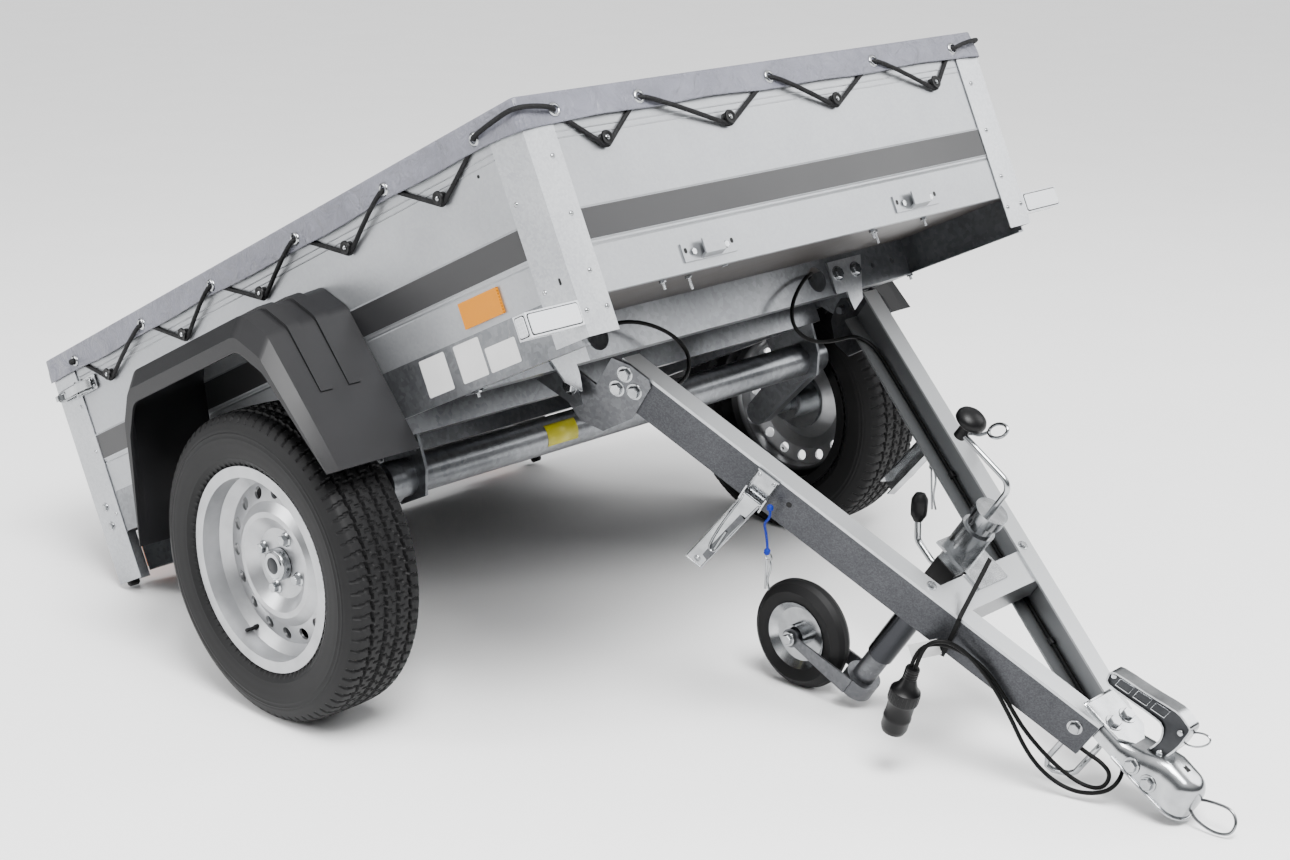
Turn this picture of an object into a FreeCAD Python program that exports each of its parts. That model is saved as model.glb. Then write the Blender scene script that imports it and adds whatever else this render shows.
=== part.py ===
import FreeCAD, Part
import math
import os
import re

# Utility trailer on its jockey wheel: a flat-bed box trailer with a soft cover, a drawbar that
# folds down at the front cross-member, a torsion axle and two road wheels under plastic mudguards.
# Units are millimetres and degrees. The bed is drawn level in its own frame: X points forward with
# zero on the front face, Y points left from the middle, Z points up from the front posts' bottom.
# The drawbar is drawn level too, in a frame that starts at its pivot.

V = FreeCAD.Vector
ALONG_X, ALONG_Y, ALONG_Z = V(1, 0, 0), V(0, 1, 0), V(0, 0, 1)

SIZES = [
    # stance
    ("pitch", 25.0), ("fold", 59.4), ("tyre_rad", 273.5), ("running_gap", 6.0),
    ("seat_gap", 0.3), ("over", 1.0),
    # box
    ("bed_length", 1550.0), ("bed_width", 1150.0), ("panel_top", 368.0), ("front_panel_foot", 59.0),
    ("panel_thick", 18.0), ("post_skin", 2.0), ("sheet_wall", 2.5), ("stripe_foot", 141.0),
    ("stripe_top", 190.0), ("stripe_relief", 1.0), ("groove_drop", 8.0), ("groove_rad", 2.5),
    ("front_post_face", 64.0), ("front_post_side", 78.0), ("rear_post_side", 88.0),
    ("rear_post_face", 60.0), ("rear_post_drop", 106.0), ("floor_thick", 10.0),
    # side rails and cross-members
    ("rail_foot", 10.0), ("rail_top", 72.0), ("rail_depth", 40.0), ("rail_lip", 14.0),
    ("rail_wall", 3.0), ("front_member_x", 288.0), ("front_member_depth", 50.0),
    ("front_member_foot", 12.0), ("mid_member_x", 545.0), ("mid_member_depth", 40.0),
    ("mid_member_foot", 36.0), ("back_member_inset", 440.0), ("member_wall", 3.0),
    ("cable_hole_rad", 24.0), ("cable_hole_y", 288.0), ("light_hole_rad", 17.0),
    ("light_pitch_share", 0.1342), ("unused_hole_rad", 5.5), ("unused_hole_pitch", 60.0),
    ("unused_hole_inset", 42.7), ("v_plate_thick", 4.0), ("v_plate_y", 325.0),
    ("v_plate_width", 101.0), ("v_plate_top", 49.0), ("v_plate_tip", 58.0), ("bolt_rad", 8.0),
    ("bolt_head", 6.0), ("pivot_x", 300.0), ("pivot_z", 42.0), ("pivot_plate_y", 366.0),
    ("pivot_plate_thick", 4.0), ("pivot_plate_foot", 79.0), ("pivot_plate_back", 376.0),
    ("pivot_pin_rad", 7.0), ("pivot_boss_rad", 20.0),
    # axle
    ("axle_x", 600.0), ("axle_z", 98.0), ("axle_rad", 33.0), ("axle_wall", 5.0),
    ("axle_inset", 30.0), ("wheel_x", 781.0), ("wheel_z", 172.0), ("wheel_offset", 103.0),
    ("axle_lug_thick", 6.0), ("axle_lug_width", 130.0), ("lug_inset", 55.0), ("beam_half", 20.0),
    ("axle_lug_foot", 140.0), ("arm_width", 30.0), ("arm_rad_in", 34.0), ("arm_rad_out", 26.0),
    ("stub_rad", 17.0), ("hub_rad", 62.0), ("hub_flange", 10.0), ("hub_barrel_rad", 36.0),
    ("hub_barrel", 52.0),
    # road wheels
    ("tyre_width", 157.0), ("tread_width", 118.0), ("rim_seat_rad", 166.0), ("flange_rad", 182.0),
    ("rim_width", 124.0), ("rim_wall", 4.0), ("rim_well_rad", 148.0), ("disc_offset", 12.0),
    ("disc_thick", 5.0), ("disc_bore_rad", 28.0), ("vent_rad", 11.0), ("vent_circle", 127.0),
    ("vent_count", 16.0), ("dish_rad", 84.0), ("dish_depth", 16.0), ("stud_circle", 50.0),
    ("stud_count", 4.0), ("stud_rad", 6.0), ("tyre_crown", 6.0), ("shoulder_drop", 14.0),
    ("bulge_share", 0.521), ("groove_width", 7.0), ("groove_deep", 7.0), ("groove_step", 26.0),
    # mudguards
    ("guard_offset", 188.0), ("guard_wall", 5.0), ("guard_front_x", 476.0),
    ("guard_front_knee_x", 561.0), ("guard_rear_knee_x", 1012.0), ("guard_rear_x", 1100.0),
    ("guard_foot", 66.0), ("guard_knee_z", 127.0), ("guard_top_z", 177.0),
    ("guard_top_front_x", 612.0), ("guard_top_rear_x", 968.0), ("guard_lip", 50.0),
    ("guard_crest", 250.0), ("guard_knee_rad", 34.0), ("guard_rib_inset", 46.0),
    ("guard_rib_pitch", 56.0), ("guard_rib_width", 24.0), ("guard_rib_rise", 4.0),
    ("guard_rib_foot", 70.0),
    # lamps
    ("marker_length", 108.0), ("marker_foot", 19.0), ("marker_height", 38.0),
    ("marker_depth", 28.0), ("reflector_x", 214.0), ("reflector_length", 98.0),
    ("reflector_foot", 83.0), ("reflector_height", 42.0), ("reflector_depth", 5.0),
    ("bar_depth", 46.0), ("bar_top", 14.0), ("bar_cap", 10.0), ("bar_recess", 24.0),
    ("rear_lamp_length", 210.0), ("rear_lamp_depth", 20.0),
    # cover, its knobs and the catches for the closed drawbar
    ("cover_thick", 3.0), ("cover_skirt", 50.0), ("cover_gap", 1.0), ("knob_rad", 10.5),
    ("knob_neck_rad", 6.0), ("knob_reach", 12.5), ("knob_head", 2.7), ("knob_z", 287.0),
    ("catch_y", 270.0), ("catch_foot", 74.0), ("catch_width", 122.0), ("catch_height", 30.0),
    ("catch_thick", 3.0), ("hook_width", 46.0), ("hook_reach", 16.0),
    # tailgate
    ("gate_hinge_out", 6.0), ("gate_hinge_z", 64.0), ("gate_foot", 76.0), ("gate_top", 362.0),
    ("gate_pin_rad", 5.0), ("gate_knuckle", 60.0), ("knuckle_rad", 10.0), ("gate_play", 0.1),
    ("gate_lug", 8.0), ("sill_inset", 9.0), ("sill_depth", 20.0),
    # drawbar, measured along the closed bar from its pivot
    ("arm_start", 40.0), ("arm_end", 948.0), ("arm_top", 94.0), ("arm_height", 73.0),
    ("arm_flange", 38.0), ("arm_wall", 4.0), ("arm_spread", 346.0), ("arm_taper_share", 0.3167),
    ("hinge_plate_thick", 5.0), ("hinge_plate_reach", 108.0), ("crossbar_x", 654.0),
    ("crossbar_depth", 60.0), ("crossbar_lip", 50.0), ("crossbar_wall", 4.0),
    # over-centre latches, measured along an arm
    ("latch_x", 348.0), ("latch_width", 42.0), ("latch_plate", 4.0), ("latch_foot", 28.0),
    ("latch_top", 88.0), ("latch_cheek", 16.0), ("latch_pin_rad", 4.0), ("lever_wall", 2.5),
    ("lever_depth", 16.0), ("lever_width", 34.0), ("lever_length", 182.0), ("lever_lean", 24.0),
    # coupling
    ("coupling_start", 903.0), ("ball_x", 1093.0), ("nose_rad", 36.0), ("ball_rad", 25.2),
    ("coupling_wall", 4.0), ("coupling_width", 76.0), ("coupling_foot", 63.0),
    ("coupling_top", 128.0), ("coupling_rim", 4.0), ("handle_x", 895.0), ("handle_foot", 100.0),
    ("handle_length", 155.0), ("handle_height", 96.0), ("handle_width", 26.0),
    ("handle_recess", 3.0), ("gusset_thick", 4.0), ("gusset_length", 94.0), ("stay_rad", 5.0),
    ("stay_drop", 62.0), ("stay_rear_x", 914.0), ("stay_front_x", 962.0), ("stay_y", 18.0),
    # jockey wheel
    ("jack_x", 582.0), ("jack_out_rad", 24.0), ("jack_wall", 3.0), ("jack_cap_rad", 29.0),
    ("jack_cap_height", 20.0), ("jack_top", 177.0), ("jack_foot", 188.0), ("jack_in_rad", 20.6),
    ("jack_inside", 250.0), ("clamp_height", 56.0), ("clamp_thick", 5.0), ("jaw_length", 44.0),
    ("jaw_height", 46.0), ("clamp_lever_rad", 5.5), ("clamp_lever_back", 100.0),
    ("clamp_lever_rise", 40.0), ("clamp_knob_rad", 13.0), ("clamp_knob_length", 46.0),
    ("fork_trail", 137.0), ("fork_gap", 62.0), ("fork_wall", 4.0), ("fork_width", 34.0),
    ("fork_lift", 12.0), ("jockey_rad", 100.0), ("jockey_width", 50.0), ("jockey_rim_rad", 62.0),
    ("jockey_bore", 10.5), ("crank_rise", 60.0), ("crank_reach", 120.0), ("crank_bend_rad", 20.0),
    ("crank_rad", 5.0), ("crank_knob_rad", 25.5), ("crank_knob_height", 45.0),
    # lighting cable
    ("cable_rad", 3.5), ("cable_line", 28.8), ("plug_rad", 25.0), ("plug_length", 125.0),
]

doc = FreeCAD.newDocument("utility_trailer")
sheet = doc.addObject("Spreadsheet::Sheet", "Dims")
for row, (alias, value) in enumerate(SIZES, 1):
    sheet.set("A%d" % row, alias)
    sheet.set("B%d" % row, str(value))
    sheet.setAlias("B%d" % row, alias)
doc.recompute()


class Sizes:
    """Reads a driving dimension from the sheet by its alias."""
    def __getattr__(self, alias):
        return float(sheet.get(alias))


d = Sizes()
NODES = []


def bound(text):
    """Turns a formula of aliases into one that FreeCAD ties to the sheet."""
    return re.sub(r"[a-z][a-z_0-9]*", lambda found: "Dims." + found.group(0), text)


def tie(obj, **formulas):
    for prop, formula in formulas.items():
        obj.setExpression(prop, bound(formula))
    return obj


def box(name, length, width, height, at):
    obj = tie(doc.addObject("Part::Box", name), Length=length, Width=width, Height=height)
    obj.Placement.Base = V(*at)
    return obj


def turned(axis):
    return FreeCAD.Rotation(ALONG_Z, V(*axis))


def cylinder(name, radius, height, at, axis=(0, 0, 1)):
    obj = tie(doc.addObject("Part::Cylinder", name), Radius=radius, Height=height)
    obj.Placement = FreeCAD.Placement(V(*at), turned(axis))
    return obj


def fuse(name, *shapes):
    obj = doc.addObject("Part::MultiFuse", name)
    obj.Shapes = list(shapes)
    obj.Refine = True
    return obj


def cut(name, base, *tools):
    obj = doc.addObject("Part::Cut", name)
    obj.Base = base
    obj.Tool = tools[0] if len(tools) == 1 else fuse(name + "_tools", *tools)
    return obj


PLANES = {"XY": "XY_Plane", "XZ": "XZ_Plane", "YZ": "YZ_Plane"}


def body(name, plane, outlines):
    """A body with one sketch; each outline is a list of points, or (centre, radius) for a circle."""
    made = doc.addObject("PartDesign::Body", name)
    sketch = made.newObject("Sketcher::SketchObject", name + "_sketch")
    base = [f for f in made.Origin.OriginFeatures if f.Role == PLANES[plane]][0]
    sketch.AttachmentSupport = (base, [""])
    sketch.MapMode = "FlatFace"
    for outline in outlines:
        if isinstance(outline, tuple):
            centre, radius = outline
            sketch.addGeometry(Part.Circle(V(*centre, 0), ALONG_Z, radius), False)
            continue
        points = [V(*point, 0) for point in outline]
        for start, end in zip(points, points[1:] + points[:1]):
            sketch.addGeometry(Part.LineSegment(start, end), False)
    return made, sketch


def pad(name, plane, outlines, length, middle=False, back=False, at=(0, 0, 0)):
    """Pads an outline; an XZ sketch pads towards -Y, or towards +Y with back."""
    made, sketch = body(name, plane, outlines)
    feature = made.newObject("PartDesign::Pad", name + "_pad")
    feature.Profile = sketch
    feature.Midplane = middle
    feature.Reversed = back
    tie(feature, Length=length)
    made.Placement.Base = V(*at)
    return made


def revolve(name, outline, axis_rot, at):
    """Turns an outline of (radius, height) points about its height axis."""
    made, sketch = body(name, "XZ", [outline])
    feature = made.newObject("PartDesign::Revolution", name + "_turn")
    feature.Profile = sketch
    feature.ReferenceAxis = (sketch, ["V_Axis"])
    feature.Angle = 360
    made.Placement = FreeCAD.Placement(V(*at), axis_rot)
    return made


def solid(name, shape, at=(0, 0, 0), rotation=None):
    obj = doc.addObject("Part::Feature", name)
    obj.Shape = shape
    obj.Placement = FreeCAD.Placement(V(*at), rotation or FreeCAD.Rotation())
    return obj


def node(obj, pose, label):
    """Labels a finished piece and moves it from its own frame to the trailer's stance."""
    obj.Label = label
    obj.Placement = pose.multiply(obj.Placement)
    NODES.append(obj)
    return obj


def mirrored(obj, label):
    """The same piece on the left side."""
    twin = doc.addObject("Part::Mirroring", obj.Name + "_twin")
    twin.Source = obj
    twin.Normal = ALONG_Y
    twin.Label = label
    NODES.append(twin)
    return twin


def pair(obj, pose, label):
    node(obj, pose, label + "_right")
    mirrored(obj, label + "_left")


ARC_SHARE = 0.45

# Stance: the tyres and the jockey wheel touch the floor at height zero
pitch, fold = math.radians(d.pitch), math.radians(d.fold)
bed_height = d.tyre_rad + d.wheel_x * math.sin(pitch) + d.wheel_z * math.cos(pitch)
BED = FreeCAD.Placement(V(0, 0, bed_height), FreeCAD.Rotation(ALONG_Y, -d.pitch))
BAR = BED.multiply(FreeCAD.Placement(V(-d.pivot_x, 0, -d.pivot_z), FreeCAD.Rotation(ALONG_Y, d.fold)))
pivot_height = BAR.Base.z
slope = fold - pitch
jockey_x = d.jack_x - d.fork_trail
jockey_z = (d.jockey_rad - pivot_height + jockey_x * math.sin(slope)) / math.cos(slope)

half = d.bed_width / 2
skin_y = half - d.post_skin
back_member_x = d.bed_length - d.back_member_inset
axle_half, lug_y, wheel_y = half - d.axle_inset, half - d.lug_inset, half + d.wheel_offset
guard_out_y, guard_in_y = half + d.guard_offset, skin_y + d.seat_gap
gate_hinge_x, sill_x = d.bed_length + d.gate_hinge_out, d.bed_length - d.sill_inset
inner_y = skin_y - d.panel_thick
front_in_x = d.post_skin + d.panel_thick
rear_in_x = d.bed_length - front_in_x
floor_top = d.rail_top - d.rail_wall
floor_foot = floor_top - d.floor_thick
rail_in_y = skin_y - d.rail_wall
member_half = skin_y - d.rail_lip - d.seat_gap


def panel_section(out, inside, foot, top):
    """Section of a folded wall panel: skin with a stripe pressed out, a fine groove, two flanges."""
    turn = 1 if out > inside else -1
    step = turn * d.stripe_relief
    back = out - turn * d.sheet_wall
    groove, rad = d.stripe_foot - d.groove_drop, d.groove_rad
    return [(inside, foot), (out, foot), (out, groove - rad), (out - step, groove),
            (out, groove + rad), (out, d.stripe_foot - rad), (out + step, d.stripe_foot),
            (out + step, d.stripe_top), (out, d.stripe_top + rad), (out, top), (inside, top),
            (inside, top - d.sheet_wall), (back, top - d.sheet_wall), (back, foot + d.sheet_wall),
            (inside, foot + d.sheet_wall)]


def knob(name, at, axis):
    """A round lashing knob on a wall's face: a neck for the rope and a wider head."""
    out = V(*axis)
    neck = cylinder(name + "_neck", "knob_neck_rad", "knob_reach + over - knob_head",
                    V(*at) - out * d.over, axis)
    head = cylinder(name + "_head", "knob_rad", "knob_head",
                    V(*at) + out * (d.knob_reach - d.knob_head), axis)
    return [neck, head]


SIDE_KNOB_SHARES = (0.1426, 0.3123, 0.4877, 0.6658, 0.8581)
END_KNOB_SHARES = (-0.7287, -0.2383, 0.2383, 0.7287)


def side_panel():
    section = panel_section(-skin_y + d.stripe_relief, -inner_y, d.rail_top, d.panel_top)
    panel = pad("side_sheet", "YZ", [section], "bed_length - 2 * panel_thick - 2 * post_skin",
                at=(-rear_in_x, 0, 0))
    knobs = []
    for n, share in enumerate(SIDE_KNOB_SHARES):
        at = (-share * d.bed_length, -skin_y + d.stripe_relief, d.knob_z)
        knobs += knob("side_knob%d" % n, at, (0, -1, 0))
    return fuse("side_panel", panel, *knobs)


def catch(name, face, middle_y):
    """A bolted plate with an upturned hook, which takes the loop of an over-centre latch."""
    foot, thick = d.catch_foot, d.catch_thick
    plate = box(name + "_plate", "catch_thick + over", "catch_width", "catch_height",
                (face - d.over, middle_y - d.catch_width / 2, foot))
    tip, reach, top = foot + 2 * thick, face + d.hook_reach, foot + d.catch_height
    outline = [(face, foot), (reach, tip), (reach, top), (reach - thick, top),
               (reach - thick, tip + thick), (face, foot + thick)]
    hook = pad(name + "_hook", "XZ", [outline], "hook_width", middle=True, at=(0, middle_y, 0))
    return [plate, hook]


def front_panel():
    face = -d.post_skin - d.stripe_relief
    section = panel_section(face, -front_in_x, d.front_panel_foot, d.panel_top)
    panel = pad("front_sheet", "XZ", [section],
                "bed_width - 2 * post_skin - 2 * panel_thick", middle=True)
    fixed = catch("catch_right", face, -d.catch_y) + catch("catch_left", face, d.catch_y)
    for n, share in enumerate(END_KNOB_SHARES):
        fixed += knob("front_knob%d" % n, (face, share * half, d.knob_z), (1, 0, 0))
    return fuse("front_panel", panel, *fixed)


def corner_post(side, face, at_front):
    """Section of a corner angle of sheet, with its flanges over the side panel and the end."""
    outer_x = 0 if at_front else -d.bed_length
    inward = -1 if at_front else 1
    flank = [(outer_x, -half), (outer_x + inward * side, -half), (outer_x + inward * side, -skin_y)]
    if at_front:
        return flank + [(-d.post_skin, -skin_y), (-d.post_skin, -half + face), (0, -half + face)]
    return flank + [(-rear_in_x, -skin_y), (-rear_in_x, -half + face), (outer_x, -half + face)]


def front_post():
    return pad("front_post", "XY", [corner_post(d.front_post_side, d.front_post_face, True)], "panel_top")


def rear_post():
    """The rear post boxes in the corner beside the tailgate and drops below to the lamp bar."""
    section = corner_post(d.rear_post_side, d.rear_post_face, False)
    return pad("rear_post", "XY", [section], "panel_top + rear_post_drop", at=(0, 0, -d.rear_post_drop))


def side_rail():
    """A folded side rail: outer web, top flange under the panel and a short bottom lip."""
    section = [(-skin_y, -d.rail_foot), (-skin_y, d.rail_top), (-skin_y + d.rail_depth, d.rail_top),
               (-skin_y + d.rail_depth, floor_top), (-rail_in_y, floor_top),
               (-rail_in_y, -d.rail_foot + d.rail_wall),
               (-skin_y + d.rail_lip, -d.rail_foot + d.rail_wall), (-skin_y + d.rail_lip, -d.rail_foot)]
    return pad("side_rail", "YZ", [section], "bed_length - 2 * panel_thick - 2 * post_skin",
               at=(-rear_in_x, 0, 0))


def cross_member(name, front_x, depth, foot, holes):
    """A channel across the chassis with its web forward, its flanges back, and holes in the web."""
    wall = d.member_wall
    section = [(-front_x, -foot), (-front_x, floor_foot), (-front_x - depth, floor_foot),
               (-front_x - depth, floor_foot - wall), (-front_x - wall, floor_foot - wall),
               (-front_x - wall, -foot + wall), (-front_x - depth, -foot + wall),
               (-front_x - depth, -foot)]
    channel = pad(name, "XZ", [section],
                  "bed_width - 2 * post_skin - 2 * rail_lip - 2 * seat_gap", middle=True)
    tools = [cylinder("%s_hole%d" % (name, i), radius, "member_wall + 2 * over",
                      (-front_x - wall - d.over, y, z), (1, 0, 0))
             for i, (y, z, radius) in enumerate(holes)]
    return cut(name + "_drilled", channel, *tools)


pair(side_panel(), BED, "side_panel")
node(front_panel(), BED, "front_panel")
pair(front_post(), BED, "front_post")
pair(rear_post(), BED, "rear_post")
pair(side_rail(), BED, "side_rail")
node(box("floor_board", "bed_length - 2 * panel_thick - 2 * post_skin",
         "bed_width - 2 * post_skin - 2 * rail_wall", "floor_thick",
         (-rear_in_x, -rail_in_y, floor_foot)), BED, "floor")

member_mid_z = (floor_foot - d.front_member_foot) / 2
light_pitch = 2 * member_half * d.light_pitch_share
front_holes = [(side * d.cable_hole_y, member_mid_z, "cable_hole_rad") for side in (-1, 1)]
front_holes += [(side * (member_half - d.unused_hole_inset - n * d.unused_hole_pitch), member_mid_z,
                 "unused_hole_rad")
                for side in (-1, 1) for n in (0, 1)]
mid_holes = [(n * light_pitch, floor_foot - 2 * d.light_hole_rad, "light_hole_rad")
             for n in (-3, -2, -1, 0, 1, 2, 3)]
node(cross_member("front_member", d.front_member_x, d.front_member_depth, d.front_member_foot,
                  front_holes), BED, "front_cross_member")
node(cross_member("mid_member", d.mid_member_x, d.mid_member_depth, d.mid_member_foot, mid_holes),
     BED, "mid_cross_member")
node(cross_member("back_member", back_member_x, d.mid_member_depth, d.mid_member_foot, mid_holes),
     BED, "rear_cross_member")


V_KNEE_SHARE, V_KNEE_DROP_SHARE, V_BOLT_SHARES = 0.66, 0.6, (0.2, 0.72)


def v_plate():
    """A wedge-shaped guide plate on the front cross-member, which centres the closed drawbar."""
    y, width = d.v_plate_y, d.v_plate_width
    top, tip = d.v_plate_top, -d.v_plate_tip
    inner_foot = -d.front_member_foot - d.seat_gap
    clear_y = d.arm_spread + 2 * d.hinge_plate_thick
    outline = [(-y, top), (-y - width, top), (-y - width * V_KNEE_SHARE, tip * V_KNEE_DROP_SHARE),
               (-clear_y - d.bolt_head, tip), (-clear_y, tip / 2), (-clear_y, inner_foot), (-y, inner_foot)]
    plate = pad("v_plate", "YZ", [outline], "v_plate_thick", at=(-d.front_member_x, 0, 0))
    bolts = [cylinder("v_bolt%d" % n, "bolt_rad", "v_plate_thick + bolt_head",
                      (-d.front_member_x, -y - width * share, top / 2), (1, 0, 0))
             for n, share in enumerate(V_BOLT_SHARES)]
    return fuse("v_plate_bolted", plate, *bolts)


pair(v_plate(), BED, "v_plate")


def pivot_plate():
    """The plate that hangs from the chassis beside each drawbar arm and carries the pivot pin."""
    back, x, thick = -d.pivot_plate_back, -d.pivot_x, d.pivot_plate_thick
    foot = -d.pivot_plate_foot
    front = -d.front_member_x - d.seat_gap
    outline = [(back, -d.front_member_foot), (front, -d.front_member_foot), (front, foot),
               (x - d.bolt_rad / 2, foot)]
    plate = pad("pivot_plate", "XZ", [outline], "pivot_plate_thick", at=(0, -d.pivot_plate_y, 0))
    pin = cylinder("pivot_pin", "pivot_pin_rad",
                   "pivot_plate_y - arm_spread + pivot_plate_thick + 3 * bolt_head",
                   (x, -d.pivot_plate_y - thick - d.bolt_head, -d.pivot_z), (0, 1, 0))
    return fuse("pivot_plate_pin", plate, pin)


pair(pivot_plate(), BED, "pivot_bracket")


def long_beam():
    """A box beam above the axle's lug, between the mid and rear cross-members."""
    wall = d.member_wall
    start = -back_member_x + d.seat_gap
    y = -lug_y - d.beam_half
    outline = [(y, -d.mid_member_foot), (y + 2 * d.beam_half, -d.mid_member_foot),
               (y + 2 * d.beam_half, floor_foot), (y, floor_foot)]
    hollow = [(y + wall, -d.mid_member_foot + wall), (y + 2 * d.beam_half - wall, -d.mid_member_foot + wall),
              (y + 2 * d.beam_half - wall, floor_foot - wall), (y + wall, floor_foot - wall)]
    return pad("long_beam", "YZ", [outline, hollow],
               "bed_length - back_member_inset - mid_member_x - mid_member_depth - 2 * seat_gap",
               at=(start, 0, 0))


def axle_lug():
    """The bracket that hangs from the beam and grips the axle tube."""
    x, z, wide = -d.axle_x, -d.axle_z, d.axle_lug_width / 2
    top = -d.mid_member_foot
    waist_share, foot_share = 0.9, 0.55
    outline = [(x - wide, top), (x + wide, top), (x + wide * waist_share, z),
               (x + wide * foot_share, -d.axle_lug_foot), (x - wide * foot_share, -d.axle_lug_foot),
               (x - wide * waist_share, z)]
    return pad("axle_lug", "XZ", [outline, ((x, z), d.axle_rad)], "axle_lug_thick",
               at=(0, -lug_y + d.axle_lug_thick / 2, 0))


def trailing_arm():
    """The cranked arm from the axle's end back to the wheel hub, with the hub's stub."""
    y = -axle_half
    front, rear = V(-d.axle_x, y, -d.axle_z), V(-d.wheel_x, y, -d.wheel_z)
    boss = cylinder("arm_boss", "arm_rad_in", "arm_width", front, (0, -1, 0))
    end = cylinder("arm_end_boss", "arm_rad_out", "arm_width", rear, (0, -1, 0))
    run = rear - front
    run.normalize()
    side = V(-run.z, 0, run.x)
    outline = [(p.x, p.z) for p in (front + side * d.arm_rad_in, rear + side * d.arm_rad_out,
                                    rear - side * d.arm_rad_out, front - side * d.arm_rad_in)]
    web = pad("arm_web", "XZ", [outline], "arm_width", at=(0, y, 0))
    stub = cylinder("arm_stub", "stub_rad", "wheel_offset + disc_offset + axle_inset - hub_flange",
                    rear, (0, -1, 0))
    return fuse("trailing_arm", boss, end, web, stub)


axle = cut("axle_tube", cylinder("axle_out", "axle_rad", "bed_width - 2 * axle_inset",
                                 (-d.axle_x, -axle_half, -d.axle_z), (0, 1, 0)),
           cylinder("axle_bore", "axle_rad - axle_wall", "bed_width - 2 * axle_inset + 2 * over",
                    (-d.axle_x, -axle_half - d.over, -d.axle_z), (0, 1, 0)))
pair(long_beam(), BED, "long_beam")
pair(axle_lug(), BED, "axle_lug")
node(axle, BED, "axle_tube")
pair(trailing_arm(), BED, "trailing_arm")

SPIN = FreeCAD.Rotation(ALONG_X, 90)
wheel_at = (-d.wheel_x, -wheel_y, -d.wheel_z)


def tyre():
    """A road tyre: square shoulders, bulged walls, bead seats and four rain grooves."""
    edge, tread = d.tyre_width / 2, d.tread_width / 2
    shoulder = d.tyre_rad - d.shoulder_drop
    crown = d.tyre_rad - d.tyre_crown / 2
    bead = d.rim_width / 2 - d.seat_gap
    outline = [(d.rim_seat_rad, -bead), (d.flange_rad, -bead)]
    bulge = d.rim_seat_rad + d.bulge_share * (d.tyre_rad - d.rim_seat_rad)
    half_line = [(bulge, -edge), (shoulder - d.tyre_crown, -edge + d.tyre_crown),
                 (shoulder, -tread - d.tyre_crown), (crown, -tread)]
    grooves = []
    for n in (-1.5, -0.5, 0.5, 1.5):
        middle, reach = n * d.groove_step, d.groove_width / 2
        grooves += [(d.tyre_rad, middle - reach), (d.tyre_rad - d.groove_deep, middle - reach + d.over),
                    (d.tyre_rad - d.groove_deep, middle + reach - d.over), (d.tyre_rad, middle + reach)]
    other = [(r, -z) for r, z in reversed(half_line)]
    end = [(d.flange_rad, bead), (d.rim_seat_rad, bead)]
    return revolve("tyre", outline + half_line + grooves + other + end, SPIN, wheel_at)


def rim():
    """A pressed steel rim with its drop centre and a dished disc, drilled for vents and studs."""
    edge, wall = d.rim_width / 2, d.rim_wall
    seat, well = d.rim_seat_rad - d.seat_gap, d.rim_well_rad
    lip = d.flange_rad - d.seat_gap
    outside = [(lip, -edge - wall), (lip, -edge), (seat, -edge), (seat, -edge / 2), (well, -edge / 4)]
    inside = [(well - wall, -edge / 4), (seat - wall, -edge / 2), (seat - wall, -edge - wall)]
    barrel = outside + [(r, -z) for r, z in reversed(outside)]
    barrel += [(r, -z) for r, z in reversed(inside)] + inside
    hoop = revolve("rim_barrel", barrel, SPIN, wheel_at)
    face, thick = d.disc_offset, d.disc_thick
    dish = d.dish_depth
    rim_in = well - wall / 2
    vent_edge = d.vent_circle - d.vent_rad - thick
    disc = [(d.disc_bore_rad, face), (d.disc_bore_rad, face + thick),
            (d.hub_rad, face + thick), (d.dish_rad, face + thick + dish),
            (d.dish_rad + 2 * thick, face + thick + dish),
            (vent_edge, face + thick + dish / 3), (rim_in, face + thick / 2),
            (rim_in, face - thick / 2), (vent_edge, face + dish / 3),
            (d.dish_rad + thick, face + dish), (d.hub_rad, face)]
    plate = revolve("rim_disc", disc, SPIN, wheel_at)
    outboard = -wheel_y - face - 3 * dish
    holes = []
    for n in range(int(d.vent_count)):
        turn = 2 * math.pi * n / d.vent_count
        holes.append(cylinder("vent%d" % n, "vent_rad", "6 * dish_depth",
                              (-d.wheel_x + d.vent_circle * math.cos(turn), outboard,
                               -d.wheel_z + d.vent_circle * math.sin(turn)), (0, 1, 0)))
    for n in range(int(d.stud_count)):
        turn = 2 * math.pi * (n + 0.5) / d.stud_count
        holes.append(cylinder("stud_hole%d" % n, "stud_rad", "6 * dish_depth",
                              (-d.wheel_x + d.stud_circle * math.cos(turn), outboard,
                               -d.wheel_z + d.stud_circle * math.sin(turn)), (0, 1, 0)))
    return cut("rim", fuse("rim_whole", hoop, plate), *holes)


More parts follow.
